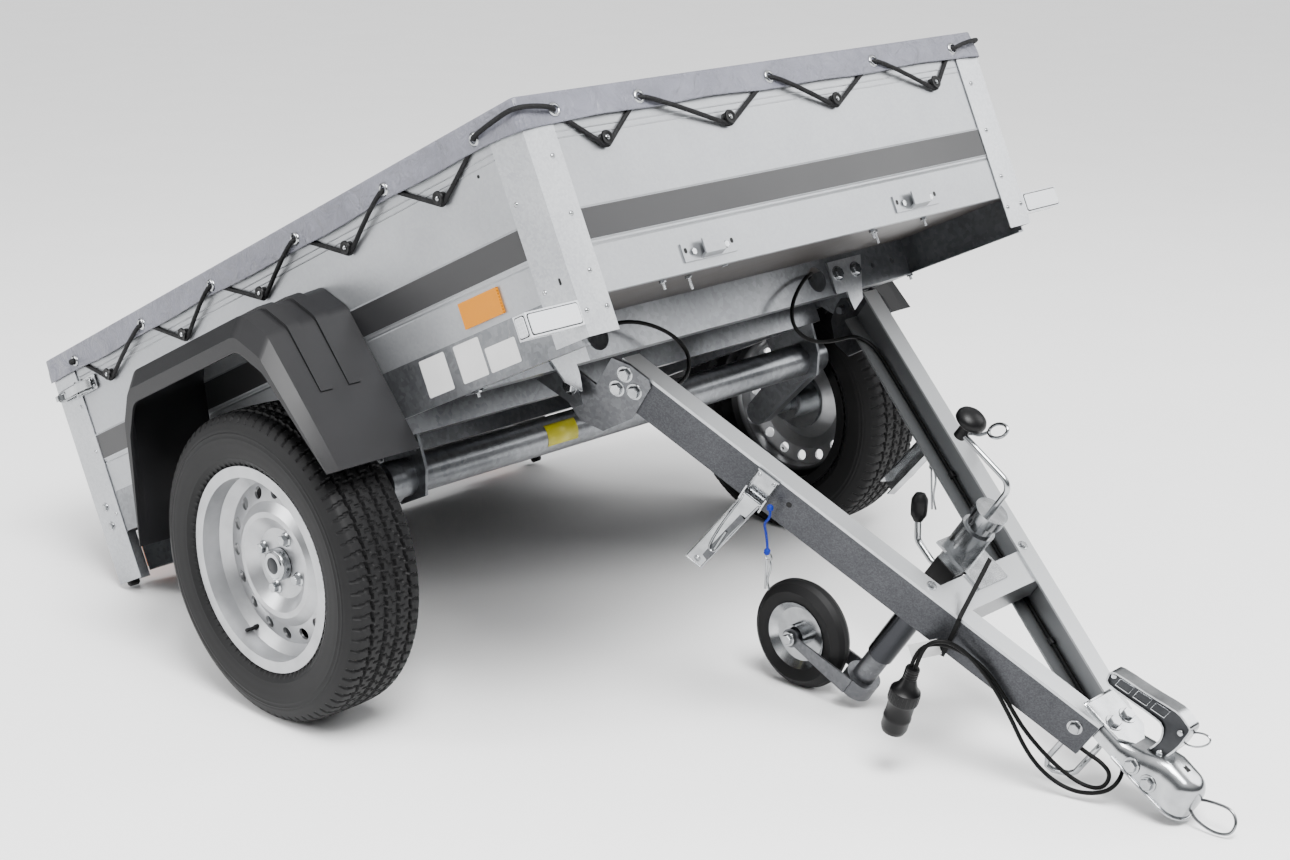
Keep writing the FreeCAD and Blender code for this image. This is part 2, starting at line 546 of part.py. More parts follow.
def hub():
    """The hub that spins on the stub: barrel, bolt flange, grease cap and the wheel bolts' heads."""
    bore = d.stub_rad + d.seat_gap
    face = d.disc_offset - d.seat_gap
    flange = d.hub_flange
    cap = d.disc_bore_rad - d.over
    inboard = face - d.hub_barrel
    cap_top, seat = face + 2 * flange, face - flange
    outline = [(bore, inboard), (d.hub_barrel_rad, inboard), (d.hub_barrel_rad, seat), (d.hub_rad, seat),
               (d.hub_rad, face), (cap, face), (cap, cap_top), (cap - flange / 2, cap_top + flange / 2),
               (0, cap_top + flange / 2), (0, seat + d.over), (bore, seat + d.over)]
    barrel = revolve("hub_barrel", outline, SPIN, wheel_at)
    bolts = []
    for n in range(int(d.stud_count)):
        turn = 2 * math.pi * (n + 0.5) / d.stud_count
        place = (-d.wheel_x + d.stud_circle * math.cos(turn),
                 -wheel_y - face + d.over, -d.wheel_z + d.stud_circle * math.sin(turn))
        shank = cylinder("wheel_bolt%d" % n, "stud_rad - seat_gap", "disc_thick + 2 * over", place,
                         (0, -1, 0))
        head_at = (place[0], -wheel_y - d.disc_offset - d.disc_thick - d.seat_gap, place[2])
        head = cylinder("wheel_bolt_head%d" % n, "bolt_rad", "hub_flange + over", head_at, (0, -1, 0))
        bolts += [shank, head]
    return fuse("hub", barrel, *bolts)


pair(tyre(), BED, "tyre")
pair(rim(), BED, "rim")
pair(hub(), BED, "hub")


def bent(corners, bend=0):
    """Edges along straight runs with a tangent arc at each corner, and the arcs' radii. With no radius
    given, each arc is as wide as its two runs allow."""
    edges, radii, start = [], [], corners[0]
    for before, corner, after in zip(corners, corners[1:], corners[2:]):
        into, out = before - corner, after - corner
        half_turn = (math.pi - into.getAngle(out)) / 2
        rad = bend or ARC_SHARE * min(into.Length, out.Length) / math.tan(half_turn)
        reach, to_centre = rad * math.tan(half_turn), rad / math.cos(half_turn)
        into.normalize()
        out.normalize()
        first, last = corner + into * reach, corner + out * reach
        inward = (into + out).normalize()
        edges.append(Part.LineSegment(start, first).toShape())
        edges.append(Part.Arc(first, corner + inward * (to_centre - rad), last).toShape())
        radii.append(rad)
        start = last
    edges.append(Part.LineSegment(start, corners[-1]).toShape())
    return edges, radii


def rounded(points, rad, y):
    """A closed wire at one depth, with its inner corners rounded."""
    corners = [V(x, y, z) for x, z in points]
    edges, radii = bent(corners, rad)
    return Part.Wire(edges + [Part.LineSegment(corners[-1], corners[0]).toShape()])


def swept(edges, rad):
    """A round bar or cable along joined edges."""
    start = edges[0]
    ring = Part.Circle(start.valueAt(start.FirstParameter), start.tangentAt(start.FirstParameter), rad)
    return Part.Wire(edges).makePipeShell([Part.Wire(ring.toShape())], True, False)


def mudguard():
    """A moulded mudguard: rounded facets over the wheel, a bevelled outer lip, two pressed ribs along
    its crown and an open underside."""
    crest = d.guard_crest - d.guard_top_z
    outer = [(-d.guard_front_x, -d.guard_foot), (-d.guard_front_knee_x, d.guard_knee_z),
             (-d.guard_top_front_x, d.guard_top_z), (-d.guard_top_rear_x, d.guard_top_z),
             (-d.guard_rear_knee_x, d.guard_knee_z), (-d.guard_rear_x, -d.guard_foot)]
    middle_x = (d.guard_top_front_x + d.guard_top_rear_x) / 2
    foot_spread_share, bevel_rise_share = 0.25, 0.25
    wall, bevel, lip = d.guard_wall, d.guard_lip / 2, d.guard_lip
    shoulder = lip + bevel * bevel_rise_share

    def ring(rise, spread, y):
        grown = []
        for x, z in outer:
            step = spread if x > -middle_x else -spread
            grown.append((x + step * (foot_spread_share if z < 0 else 1), z + (rise if z > 0 else 0)))
        return rounded(grown, d.guard_knee_rad, y)

    def shell(grow):
        return Part.makeLoft([ring(lip - bevel + grow, wall + grow, -guard_out_y),
                              ring(shoulder + grow, 2 * wall + grow, -guard_out_y + bevel),
                              ring(crest + grow, 4 * wall + grow, -guard_in_y)], True, True)

    hollow = Part.makeLoft([ring(lip - bevel - wall, 0, -guard_out_y + wall),
                            ring(shoulder - wall, wall, -guard_out_y + bevel),
                            ring(crest - wall, 3 * wall, -guard_in_y + d.over)], True, True)
    raised = shell(d.guard_rib_rise)
    whole = shell(0)
    for n in (1, 2):
        y = -guard_in_y - d.guard_rib_inset - (n - 1) * d.guard_rib_pitch - d.guard_rib_width
        band = Part.makeBox(d.guard_rear_knee_x, d.guard_rib_width, d.guard_crest,
                            V(-d.guard_rear_knee_x, y, d.guard_rib_foot))
        whole = whole.fuse(raised.common(band))
    below = Part.makeBox(2 * d.guard_rear_x, guard_out_y, wall,
                         V(-2 * d.guard_rear_x, -guard_out_y, -d.guard_foot - wall / 2))
    mouth = Part.Face(rounded(outer, d.guard_knee_rad, -guard_out_y - wall)).extrude(V(0, 3 * wall, 0))
    return solid("mudguard", whole.cut(hollow).cut(below).cut(mouth))


def marker_lamp():
    return box("marker", "marker_depth", "marker_length", "marker_height",
               (-d.marker_depth, -half - d.marker_length, d.marker_foot))


pair(mudguard(), BED, "mudguard")
pair(box("reflector", "reflector_length", "reflector_depth", "reflector_height",
         (-d.reflector_x - d.reflector_length / 2,
          -skin_y + d.stripe_relief - d.seat_gap - d.reflector_depth, d.reflector_foot)),
     BED, "side_reflector")
pair(marker_lamp(), BED, "front_lamp")


def lamp_bar():
    """The bar across the back under the tailgate, a channel that carries the rear lamps."""
    foot, wall = -d.rear_post_drop + d.bar_cap, d.member_wall
    top = -d.bar_top
    x = -d.bed_length + d.bar_recess
    section = [(x, foot), (x, top), (x + d.bar_depth, top), (x + d.bar_depth, top - wall),
               (x + wall, top - wall), (x + wall, foot + wall), (x + d.bar_depth, foot + wall),
               (x + d.bar_depth, foot)]
    return pad("lamp_bar", "XZ", [section], "bed_width - 2 * rear_post_face - 2 * seat_gap", middle=True)


def rear_lamp():
    x = -d.bed_length + d.bar_recess - d.rear_lamp_depth
    foot = -d.rear_post_drop + 2 * d.bar_cap
    inner = -half + d.rear_post_face + d.bar_cap
    return box("rear_lamp", "rear_lamp_depth", "rear_lamp_length",
               "rear_post_drop - bar_top - 3 * bar_cap", (x, inner, foot))


def tailgate():
    """The rear panel with its knobs, which drops on two hinge pins under its foot."""
    width = d.bed_width - 2 * d.rear_post_face - 2 * d.running_gap
    face = -d.bed_length + d.stripe_relief
    section = panel_section(face, -rear_in_x - d.running_gap, d.gate_foot, d.gate_top)
    leaf = pad("tailgate_leaf", "XZ", [section],
               "bed_width - 2 * rear_post_face - 2 * running_gap", middle=True)
    fitted = []
    for n, share in enumerate(END_KNOB_SHARES):
        fitted += knob("gate_knob%d" % n, (face, share * half, d.knob_z), (-1, 0, 0))
    for n in (-1, 1):
        y = n * width / 4 - d.gate_knuckle / 2
        strap = box("gate_strap%d" % n, "gate_hinge_out + stripe_relief", "gate_knuckle",
                    "gate_foot - gate_hinge_z + knuckle_rad", (-gate_hinge_x, y, d.gate_hinge_z))
        ring = cylinder("gate_ring%d" % n, "knuckle_rad", "gate_knuckle",
                        (-gate_hinge_x, y, d.gate_hinge_z), (0, 1, 0))
        bore = cylinder("gate_bore%d" % n, "gate_pin_rad + gate_play", "gate_knuckle + 2 * over",
                        (-gate_hinge_x, y - d.over, d.gate_hinge_z), (0, 1, 0))
        fitted.append(cut("gate_knuckle%d" % n, fuse("gate_loop%d" % n, strap, ring), bore))
    return fuse("tailgate", leaf, *fitted)


def rear_sill():
    """The sill under the tailgate, with two lugs and a pin at each hinge."""
    wide = d.bed_width - 2 * d.rear_post_face - 2 * d.running_gap
    beam = box("sill_beam", "sill_depth", "bed_width - 2 * rear_post_face - 2 * seat_gap",
               "rail_foot + rail_top - rail_wall - floor_thick - seat_gap",
               (-sill_x, -half + d.rear_post_face + d.seat_gap, -d.rail_foot))
    pieces = []
    for n in (-1, 1):
        middle_y = n * wide / 4
        pieces.append(cylinder("sill_pin%d" % n, "gate_pin_rad", "gate_knuckle + 2 * gate_lug + 2 * over",
                               (-gate_hinge_x, middle_y - d.gate_knuckle / 2 - d.gate_lug - d.over,
                                d.gate_hinge_z), (0, 1, 0)))
        for end in (-1, 1):
            y = middle_y + end * (d.gate_knuckle / 2 + d.over / 2 + d.gate_lug / 2) - d.gate_lug / 2
            pieces.append(box("sill_lug%d%d" % (n, end), "gate_hinge_out + sill_inset + gate_pin_rad",
                              "gate_lug", "gate_pin_rad + running_gap + knuckle_rad",
                              (-gate_hinge_x - d.gate_pin_rad, y,
                               d.gate_hinge_z - d.gate_pin_rad - d.knuckle_rad)))
    return fuse("rear_sill", beam, *pieces)


def cover():
    """The soft cover over the box, a shallow open tray upside down with its skirt over the walls."""
    under = d.panel_top + d.seat_gap
    out, thick = half + d.cover_gap + d.cover_thick, d.cover_thick
    rear = -d.bed_length - d.cover_gap - thick
    length = d.bed_length + 2 * (d.cover_gap + thick)
    top = Part.makeBox(length, 2 * out, d.cover_skirt + thick, V(rear, -out, under - d.cover_skirt))
    inside = Part.makeBox(length - 2 * thick, 2 * (out - thick), d.cover_skirt + d.over,
                          V(rear + thick, -out + thick, under - d.cover_skirt - d.over))
    back = Part.makeBox(thick + 2 * d.over, 2 * out, d.cover_skirt + d.over,
                        V(rear - d.over, -out, under - d.cover_skirt - d.over))
    return solid("cover", top.cut(inside).cut(back))


def rear_flap():
    """The cover's rear skirt, which is laced to the tailgate and goes with it."""
    under = d.gate_top
    out = half - d.rear_post_face - d.running_gap
    x = -d.bed_length + d.stripe_relief - d.seat_gap - d.cover_thick
    return box("rear_flap", "cover_thick", "bed_width - 2 * rear_post_face - 2 * running_gap",
               "cover_skirt", (x, -out, under - d.cover_skirt))


node(lamp_bar(), BED, "lamp_bar")
pair(rear_lamp(), BED, "rear_lamp")
node(rear_sill(), BED, "rear_sill")
node(tailgate(), BED, "tailgate")
node(cover(), BED, "cover")
node(rear_flap(), BED, "cover_rear_flap")


def arm_y(x):
    """Half the drawbar's outer width at a distance from its pivot."""
    return d.arm_spread - d.arm_taper_share * x


def drawbar_arm():
    """One arm of the A-frame: a channel open towards the middle, cut square to the bar's middle line."""
    wall, foot = d.arm_wall, d.arm_top - d.arm_height

    def slab(width):
        start, end = -arm_y(d.arm_start), -arm_y(d.arm_end)
        return [(d.arm_start, start), (d.arm_end, end), (d.arm_end, min(end + width, -d.seat_gap)),
                (d.arm_start, start + width)]

    web = pad("arm_web_plate", "XY", [slab(wall)], "arm_height", at=(0, 0, foot))
    top = pad("arm_top_flange", "XY", [slab(d.arm_flange)], "arm_wall", at=(0, 0, d.arm_top - wall))
    low = pad("arm_low_flange", "XY", [slab(d.arm_flange)], "arm_wall", at=(0, 0, foot))
    return cut("drawbar_arm", fuse("arm_channel", web, top, low), coupling_slot())


YAW = FreeCAD.Rotation(ALONG_Z, math.degrees(math.atan(d.arm_taper_share)))
arm_foot = d.arm_top - d.arm_height


def hinge_plate():
    """The bolted plate that links an arm to the pivot behind and below its rear end."""
    boss, top, foot = d.pivot_boss_rad, d.arm_top, arm_foot
    start, reach = d.arm_start, d.hinge_plate_reach
    notch_x, notch_z = start - 2 * boss / 3, boss
    heel_share, heel_drop_share, toe_share = 0.7, 2.4, 1.6
    outline = [(notch_x, top - boss / 2), (start + boss, top), (reach - boss / 2, top),
               (reach, top - boss / 2), (reach, foot - boss / 2),
               (reach * heel_share, -heel_drop_share * boss), (toe_share * boss, -3 * boss),
               (-boss / 2, -2 * boss), (-boss, -boss / 2), (-boss, boss / 2), (-boss / 2, boss),
               (notch_x, notch_z)]
    plate = pad("hinge_plate", "XZ", [outline], "hinge_plate_thick")
    plate.Placement = FreeCAD.Placement(V(0, -d.arm_spread - d.seat_gap, 0), YAW)
    bore = cylinder("hinge_bore", "pivot_pin_rad + seat_gap", "8 * hinge_plate_thick",
                    (0, -d.arm_spread - 4 * d.hinge_plate_thick, 0), (0, 1, 0))
    bolts = []
    for n, (x, z) in enumerate([(start + boss, top - boss), (start + boss, foot + boss),
                                (reach - boss, (top + foot) / 2)]):
        at = V(0, -d.arm_spread - d.seat_gap, 0) + YAW.multVec(V(x, -d.hinge_plate_thick + d.over, z))
        bolts.append(cylinder("hinge_bolt%d" % n, "bolt_rad", "bolt_head + over", at,
                              YAW.multVec(V(0, -1, 0))))
    return fuse("hinge_plate_bolted", cut("hinge_plate_bored", plate, bore), *bolts)


def crossbar():
    """The channel between the arms, web up under their top flanges."""
    front, rear = d.crossbar_x + d.crossbar_depth / 2, d.crossbar_x - d.crossbar_depth / 2
    wall, top = d.crossbar_wall, d.arm_top - d.arm_wall - d.seat_gap

    def half_width(x):
        return arm_y(x) - d.arm_wall - 2 * d.seat_gap

    def plate(name, low_x, high_x, height, z):
        outline = [(low_x, -half_width(low_x)), (high_x, -half_width(high_x)),
                   (high_x, half_width(high_x)), (low_x, half_width(low_x))]
        return pad(name, "XY", [outline], height, at=(0, 0, z))

    web = plate("crossbar_web", rear, front, "crossbar_wall", top - wall)
    lips = [plate("crossbar_lip%d" % n, x, x + wall, "crossbar_lip", top - d.crossbar_lip)
            for n, x in enumerate((rear, front - wall))]
    return fuse("crossbar", web, *lips)


def toggle_latch():
    """The over-centre latch on an arm's web: a plate with two cheeks and a pin, and the folded lever
    that hangs from it and holds the closed bar to the box."""
    x, wide, thick, cheek = d.latch_x, d.latch_width / 2, d.latch_plate, d.latch_cheek
    reach = thick + cheek
    plate = pad("latch_plate", "XZ", [[(x - wide, d.latch_foot), (x + wide, d.latch_foot),
                                       (x + wide, d.latch_top), (x - wide, d.latch_top)]], "latch_plate")
    middle = (d.latch_foot + d.latch_top) / 2
    cheek_line = [(-thick + d.over, d.latch_foot), (-reach, d.latch_foot), (-reach, middle),
                  (-thick + d.over, d.latch_top)]
    cheeks = [pad("latch_cheek%d" % n, "YZ", [cheek_line], "lever_wall", at=(at_x, 0, 0))
              for n, at_x in enumerate((x - wide, x + wide - d.lever_wall))]
    pin_z = d.latch_foot + 2 * d.latch_pin_rad
    pin = cylinder("latch_pin", "latch_pin_rad", "latch_width",
                   (x - wide, -reach + 2 * d.latch_pin_rad, pin_z), (1, 0, 0))
    top, half_w, wall = pin_z + 2 * d.latch_pin_rad, d.lever_width / 2, d.lever_wall
    foot, lean = top - d.lever_length, d.lever_lean

    def leaf(name, side, depth, back):
        line = [(x - lean - side, foot), (x - lean + side, foot), (x + side, top), (x - side, top)]
        return pad(name, "XZ", [line], depth, at=(0, back, 0))

    lever = cut("latch_lever", leaf("lever_outside", half_w, "lever_depth", -thick - d.over),
                leaf("lever_inside", half_w - wall, "lever_depth - lever_wall + over", -thick))
    whole = fuse("toggle_latch", plate, *cheeks, pin, lever)
    whole.Placement = FreeCAD.Placement(V(0, -d.arm_spread - d.seat_gap, 0), YAW)
    return whole


# The hand lever's outline and the middle line of its three recesses, as shares of its length and height
HANDLE_SHARES = [(0, 0.52), (0.05, 0.625), (0.74, 1), (0.97, 0.94), (1, 0.52), (0.955, 0.05), (0.81, 0),
                 (0.82, 0.42), (0.71, 0.625), (0.065, 0.365)]
RECESS_START_SHARES, RECESS_END_SHARES, RECESS_HALF_SHARE = (0.1, 0.515), (0.72, 0.81), 0.085


def handle():
    """The coupling's hand lever: a curved grip with three moulded recesses on each side."""
    def placed(share_x, share_z):
        return d.handle_x + share_x * d.handle_length, d.handle_foot + share_z * d.handle_height

    grip = pad("handle_grip", "XZ", [[placed(*shares) for shares in HANDLE_SHARES]], "handle_width",
               middle=True)
    start, end = V(*RECESS_START_SHARES, 0), V(*RECESS_END_SHARES, 0)
    count = 3
    recesses = []
    for n in range(count):
        near = start + (end - start) * ((n + RECESS_HALF_SHARE) / count)
        far = start + (end - start) * ((n + 1 - RECESS_HALF_SHARE) / count)
        recesses.append([placed(p.x, p.y + side * RECESS_HALF_SHARE)
                         for p, side in ((near, -1), (far, -1), (far, 1), (near, 1))])
    edge = d.handle_width / 2
    tools = [pad("handle_recess%d%d" % (n, m), "XZ", [recess], "handle_recess + over", at=(0, y, 0))
             for n, y in enumerate((-edge + d.handle_recess, edge + d.over))
             for m, recess in enumerate(recesses)]
    return cut("handle", grip, *tools)


def coupling():
    """The ball coupling: a pressed body open below with a rolled rim, rising and narrowing to a domed
    socket, with its hand lever, the gusset plate behind it and the bent stay under it."""
    foot, rear_top, crown = d.coupling_foot, d.arm_top - d.seat_gap, d.coupling_top
    ball, nose = d.ball_x, d.nose_rad
    height = "coupling_top - coupling_foot + 2 * over"

    def plan(name, start, grow, tall, low, rad):
        half_w = d.coupling_width / 2 + grow
        line = [(start, -half_w), (ball - 2 * nose, -half_w), (ball, -nose - grow), (ball, nose + grow),
                (ball - 2 * nose, half_w), (start, half_w)]
        return fuse(name, pad(name + "_plan", "XY", [line], tall, at=(0, 0, low)),
                    cylinder(name + "_nose", rad, tall, (ball, 0, low)))

    def form(name, shrink, rad):
        low = foot - (d.over if shrink else 0)
        side = [(d.coupling_start, low), (ball + nose - shrink, low),
                (ball + nose - shrink, (foot + crown) / 2 - shrink),
                (ball + nose / 2, crown - nose / 4 - shrink), (ball, crown - shrink),
                (ball - nose, crown - nose / 8 - shrink), (ball - 3 * nose, rear_top - shrink),
                (d.coupling_start, rear_top - shrink)]
        obj = doc.addObject("Part::Common", name)
        obj.Base = plan(name + "_tall", d.coupling_start - d.over, -shrink, height, foot - d.over, rad)
        obj.Tool = pad(name + "_side", "XZ", [side], "coupling_width", middle=True)
        return obj

    rim = plan("coupling_rim", d.arm_end + d.over, d.coupling_rim, "coupling_wall", foot,
               "nose_rad + coupling_rim")
    pressed = cut("coupling_pressed",
                  fuse("coupling_rimmed", form("coupling_outer", 0, "nose_rad"), rim),
                  form("coupling_inner", d.coupling_wall, "nose_rad - coupling_wall"))
    edge, length = d.coupling_width / 2, d.gusset_length
    rear = d.coupling_start + d.coupling_wall
    taper_share, tip_share = 0.76, 0.3
    knee, end = rear + length * taper_share, rear + length
    outline = [(rear, -edge), (knee, -edge), (end, -edge * tip_share), (end, edge * tip_share),
               (knee, edge), (rear, edge)]
    gusset = pad("gusset", "XY", [outline], "gusset_thick", at=(0, 0, rear_top))
    bolts = [cylinder("gusset_bolt%d" % n, "bolt_rad", "gusset_thick + bolt_head",
                      (rear + length / 2, y, rear_top), (0, 0, 1))
             for n, y in enumerate((-edge / 2, edge / 2))]
    cheeks = [cylinder("cheek_bolt%d" % n, "bolt_rad", "coupling_width + 2 * bolt_head",
                       (x, -edge - d.bolt_head, foot + d.nose_rad / 2), (0, 1, 0))
              for n, x in enumerate((ball - 2 * nose, ball - nose))]
    low, high = -d.stay_drop, rear_top - d.coupling_wall / 2
    line = [V(d.stay_rear_x, -d.stay_y, high), V(d.stay_rear_x, -d.stay_y, low),
            V(d.stay_front_x, -d.stay_y, low / 2), V(d.stay_front_x, -d.stay_y, high)]
    edges, radii = bent(line, 2 * d.stay_rad)
    stay = solid("coupling_stay", swept(edges, d.stay_rad))
    return fuse("coupling_fitted", pressed, handle(), gusset, stay, *bolts, *cheeks)


def coupling_slot():
    """The room between the arms' front ends that the coupling's rear fills."""
    return box("coupling_slot", "arm_end - coupling_start + 2 * over + seat_gap",
               "coupling_width / 2 + over + seat_gap", "arm_height + 2 * over",
               (d.coupling_start - d.seat_gap, -d.coupling_width / 2 - d.seat_gap, arm_foot - d.over))


pair(drawbar_arm(), BAR, "drawbar_arm")
pair(hinge_plate(), BAR, "hinge_plate")
node(crossbar(), BAR, "drawbar_crossbar")
pair(toggle_latch(), BAR, "toggle_latch")
node(coupling(), BAR, "coupling")


def jack_tube():
    """The jockey wheel's outer tube with its round cap."""
    height = "jack_top + jack_foot"
    tube = cut("jack_tube_bored",
               cylinder("jack_tube", "jack_out_rad", height, (d.jack_x, 0, -d.jack_foot)),
               cylinder("jack_tube_bore", "jack_out_rad - jack_wall", "jack_top + jack_foot - jack_wall",
                        (d.jack_x, 0, -d.jack_foot - d.jack_wall)))
    cap = cylinder("jack_cap", "jack_cap_rad", "jack_cap_height",
                   (d.jack_x, 0, d.jack_top - d.jack_cap_height / 2))
    return fuse("jack_tube_capped", tube, cap)


# The clamp lever's middle line, as shares of how far it reaches back and how much it rises
LEVER_SHARES = [(0, 0), (0.3, -0.1), (0.7, 0.08), (0.9, 0.78), (1.03, 1.32)]


def jack_clamp():
    """The clamp that holds the outer tube to the crossbar: a foot plate, a split collar, and under the
    plate the moulded jaw with its bent lever and knob."""
    rad, thick = d.jack_out_rad + d.seat_gap, d.clamp_thick
    plate_top = d.arm_top - d.arm_wall - d.seat_gap
    collar = cut("clamp_collar_bored",
                 cylinder("clamp_collar", "jack_out_rad + seat_gap + clamp_thick", "clamp_height",
                          (d.jack_x, 0, plate_top)),
                 cylinder("clamp_bore", "jack_out_rad + seat_gap", "clamp_height + 2 * over",
                          (d.jack_x, 0, plate_top - d.over)))
    foot = cut("clamp_foot_bored",
               box("clamp_foot", "crossbar_x - jack_x + jack_out_rad + 2 * clamp_thick",
                   "2 * jack_out_rad + 6 * clamp_thick", "clamp_thick",
                   (d.jack_x - rad - thick, -d.jack_out_rad - 3 * thick, plate_top)),
               cylinder("clamp_foot_bore", "jack_out_rad + seat_gap", "clamp_thick + 2 * over",
                        (d.jack_x, 0, plate_top - d.over)))
    jaw_wide = 6 * thick
    jaw_y = -rad - thick - jaw_wide
    jaw_x = d.crossbar_x - d.crossbar_depth / 2 - thick - d.jaw_length
    jaw = box("clamp_jaw", "jaw_length", "6 * clamp_thick", "jaw_height + over",
              (jaw_x, jaw_y, plate_top - d.jaw_height))
    start_x, start_z = jaw_x + d.jaw_length / 2, plate_top - d.jaw_height / 2
    corners = [V(start_x - back * d.clamp_lever_back, jaw_y + jaw_wide / 2,
                 start_z + rise * d.clamp_lever_rise) for back, rise in LEVER_SHARES]
    edges, radii = bent(corners, 3 * d.clamp_lever_rad)
    lever = solid("clamp_lever", swept(edges, d.clamp_lever_rad))
    fat, tall = d.clamp_knob_rad, d.clamp_knob_length
    waist_share, low_share, high_share = 0.55, 0.22, 0.8
    knob_line = [(0, 0), (fat * waist_share, 0), (fat, tall * low_share), (fat, tall * high_share),
                 (fat * waist_share, tall), (0, tall)]
    grip = revolve("clamp_knob", knob_line, turned(corners[-1] - corners[-2]), corners[-2])
    return fuse("jack_clamp", collar, foot, jaw, lever, grip)


# The crank knob's side, from the stem's top to its crown, as shares of its radius and height
KNOB_STEM_SHARE = 0.35
KNOB_SHARES = [(0.35, 0.42), (0.85, 0.5), (1, 0.6), (1, 0.72), (0.82, 0.88), (0.45, 0.98)]


def jack_crank():
    """The crank on top: one bent rod that rises and reaches back, with a mushroom grip on its end."""
    top, bend = d.jack_top + d.jack_cap_height / 2, d.crank_bend_rad
    level, end_x = top + d.crank_rise, d.jack_x - d.crank_reach
    corner = 1 - math.sqrt(0.5)
    made = doc.addObject("PartDesign::Body", "crank_rod")
    plane = {f.Role: f for f in made.Origin.OriginFeatures}
    path = made.newObject("Sketcher::SketchObject", "crank_path")
    path.AttachmentSupport, path.MapMode = (plane["XZ_Plane"], [""]), "FlatFace"
    rise = [V(d.jack_x, top, 0), V(d.jack_x, level - bend, 0)]
    over = [V(d.jack_x - bend, level, 0), V(end_x, level, 0)]
    path.addGeometry(Part.LineSegment(*rise), False)
    path.addGeometry(Part.Arc(rise[1], V(d.jack_x - corner * bend, level - corner * bend, 0), over[0]), False)
    path.addGeometry(Part.LineSegment(*over), False)
    round_rod = made.newObject("Sketcher::SketchObject", "crank_section")
    round_rod.AttachmentSupport, round_rod.MapMode = (plane["XY_Plane"], [""]), "FlatFace"
    round_rod.AttachmentOffset.Base = V(0, 0, top)
    round_rod.addGeometry(Part.Circle(V(d.jack_x, 0, 0), ALONG_Z, d.crank_rad), False)
    pipe = made.newObject("PartDesign::AdditivePipe", "crank_pipe")
    pipe.Profile, pipe.Spine = round_rod, (path, [])
    rad, tall = d.crank_knob_rad, d.crank_knob_height
    grip_line = [(0, -d.crank_rad - d.over), (rad * KNOB_STEM_SHARE, -d.crank_rad - d.over)]
    grip_line += [(rad * wide, tall * high) for wide, high in KNOB_SHARES] + [(0, tall)]
    grip = revolve("crank_grip", grip_line, FreeCAD.Rotation(), (end_x, 0, level))
    return fuse("jack_crank", made, grip)


head_foot = jockey_z + d.fork_lift
inner_foot = head_foot + d.fork_width


def inner_tube():
    """The inner tube slides in the outer one and carries the fork."""
    tube = Part.makeCylinder(d.jack_in_rad, d.jack_inside - d.jack_foot - inner_foot)
    return solid("inner_tube", tube, (d.jack_x, 0, inner_foot))


def fork():
    """The trailing fork: a head that turns under the inner tube and two flat cheeks to the axle."""
    gap, wall, width = d.fork_gap / 2, d.fork_wall, d.fork_width / 2
    outline = [(jockey_x, jockey_z - width / 2), (d.jack_x, head_foot), (d.jack_x, head_foot + 2 * width),
               (jockey_x, jockey_z + width / 2)]
    cheeks = []
    for n, y in enumerate((-gap, gap + wall)):
        cheek = pad("fork_cheek%d" % n, "XZ", [outline], "fork_wall", at=(0, y, 0))
        end = cylinder("fork_end%d" % n, "fork_width / 2", "fork_wall", (jockey_x, y, jockey_z), (0, -1, 0))
        cheeks += [cheek, end]
    head = cylinder("fork_head", "fork_gap / 2 + over", "fork_width - seat_gap",
                    (d.jack_x, 0, head_foot))
    axle_pin = cylinder("fork_axle", "jockey_bore - seat_gap", "fork_gap + 4 * fork_wall",
                        (jockey_x, gap + 2 * wall, jockey_z), (0, -1, 0))
    return fuse("fork", head, axle_pin, *cheeks)


# Half widths of the jockey wheel's bead, shoulder and crown, and of its rim's seat and web
JOCKEY_TYRE_SHARES, JOCKEY_RIM_SHARES = (0.7, 0.6, 0.2), (0.8, 0.3)


def jockey_wheel():
    """A solid rubber tyre on a steel disc rim, with a bushed bore."""
    rad, wide, rim_rad, bore = d.jockey_rad, d.jockey_width / 2, d.jockey_rim_rad, d.jockey_bore
    bead, shoulder, crown = (wide * share for share in JOCKEY_TYRE_SHARES)
    seat, web = (wide * share for share in JOCKEY_RIM_SHARES)
    well = rim_rad * seat / wide
    half_line = [(rim_rad, -bead), (rad - bead, -wide), (rad - crown, -shoulder), (rad, -crown)]
    tyre_line = half_line + [(r, -z) for r, z in reversed(half_line)]
    half_line = [(bore, -wide), (2 * bore, -wide), (2 * bore, -web), (well, -web),
                 (rim_rad - d.seat_gap, -seat)]
    rim_line = half_line + [(r, -z) for r, z in reversed(half_line)]
    at = (jockey_x, 0, jockey_z)
    return revolve("jockey_tyre", tyre_line, SPIN, at), revolve("jockey_rim", rim_line, SPIN, at)


node(jack_tube(), BAR, "jockey_outer_tube")
node(jack_clamp(), BAR, "jockey_clamp")
node(jack_crank(), BAR, "jockey_crank")
node(inner_tube(), BAR, "jockey_inner_tube")
node(fork(), BAR, "jockey_fork")
for piece, label in zip(jockey_wheel(), ("jockey_tyre", "jockey_rim")):
    node(piece, BAR, label)

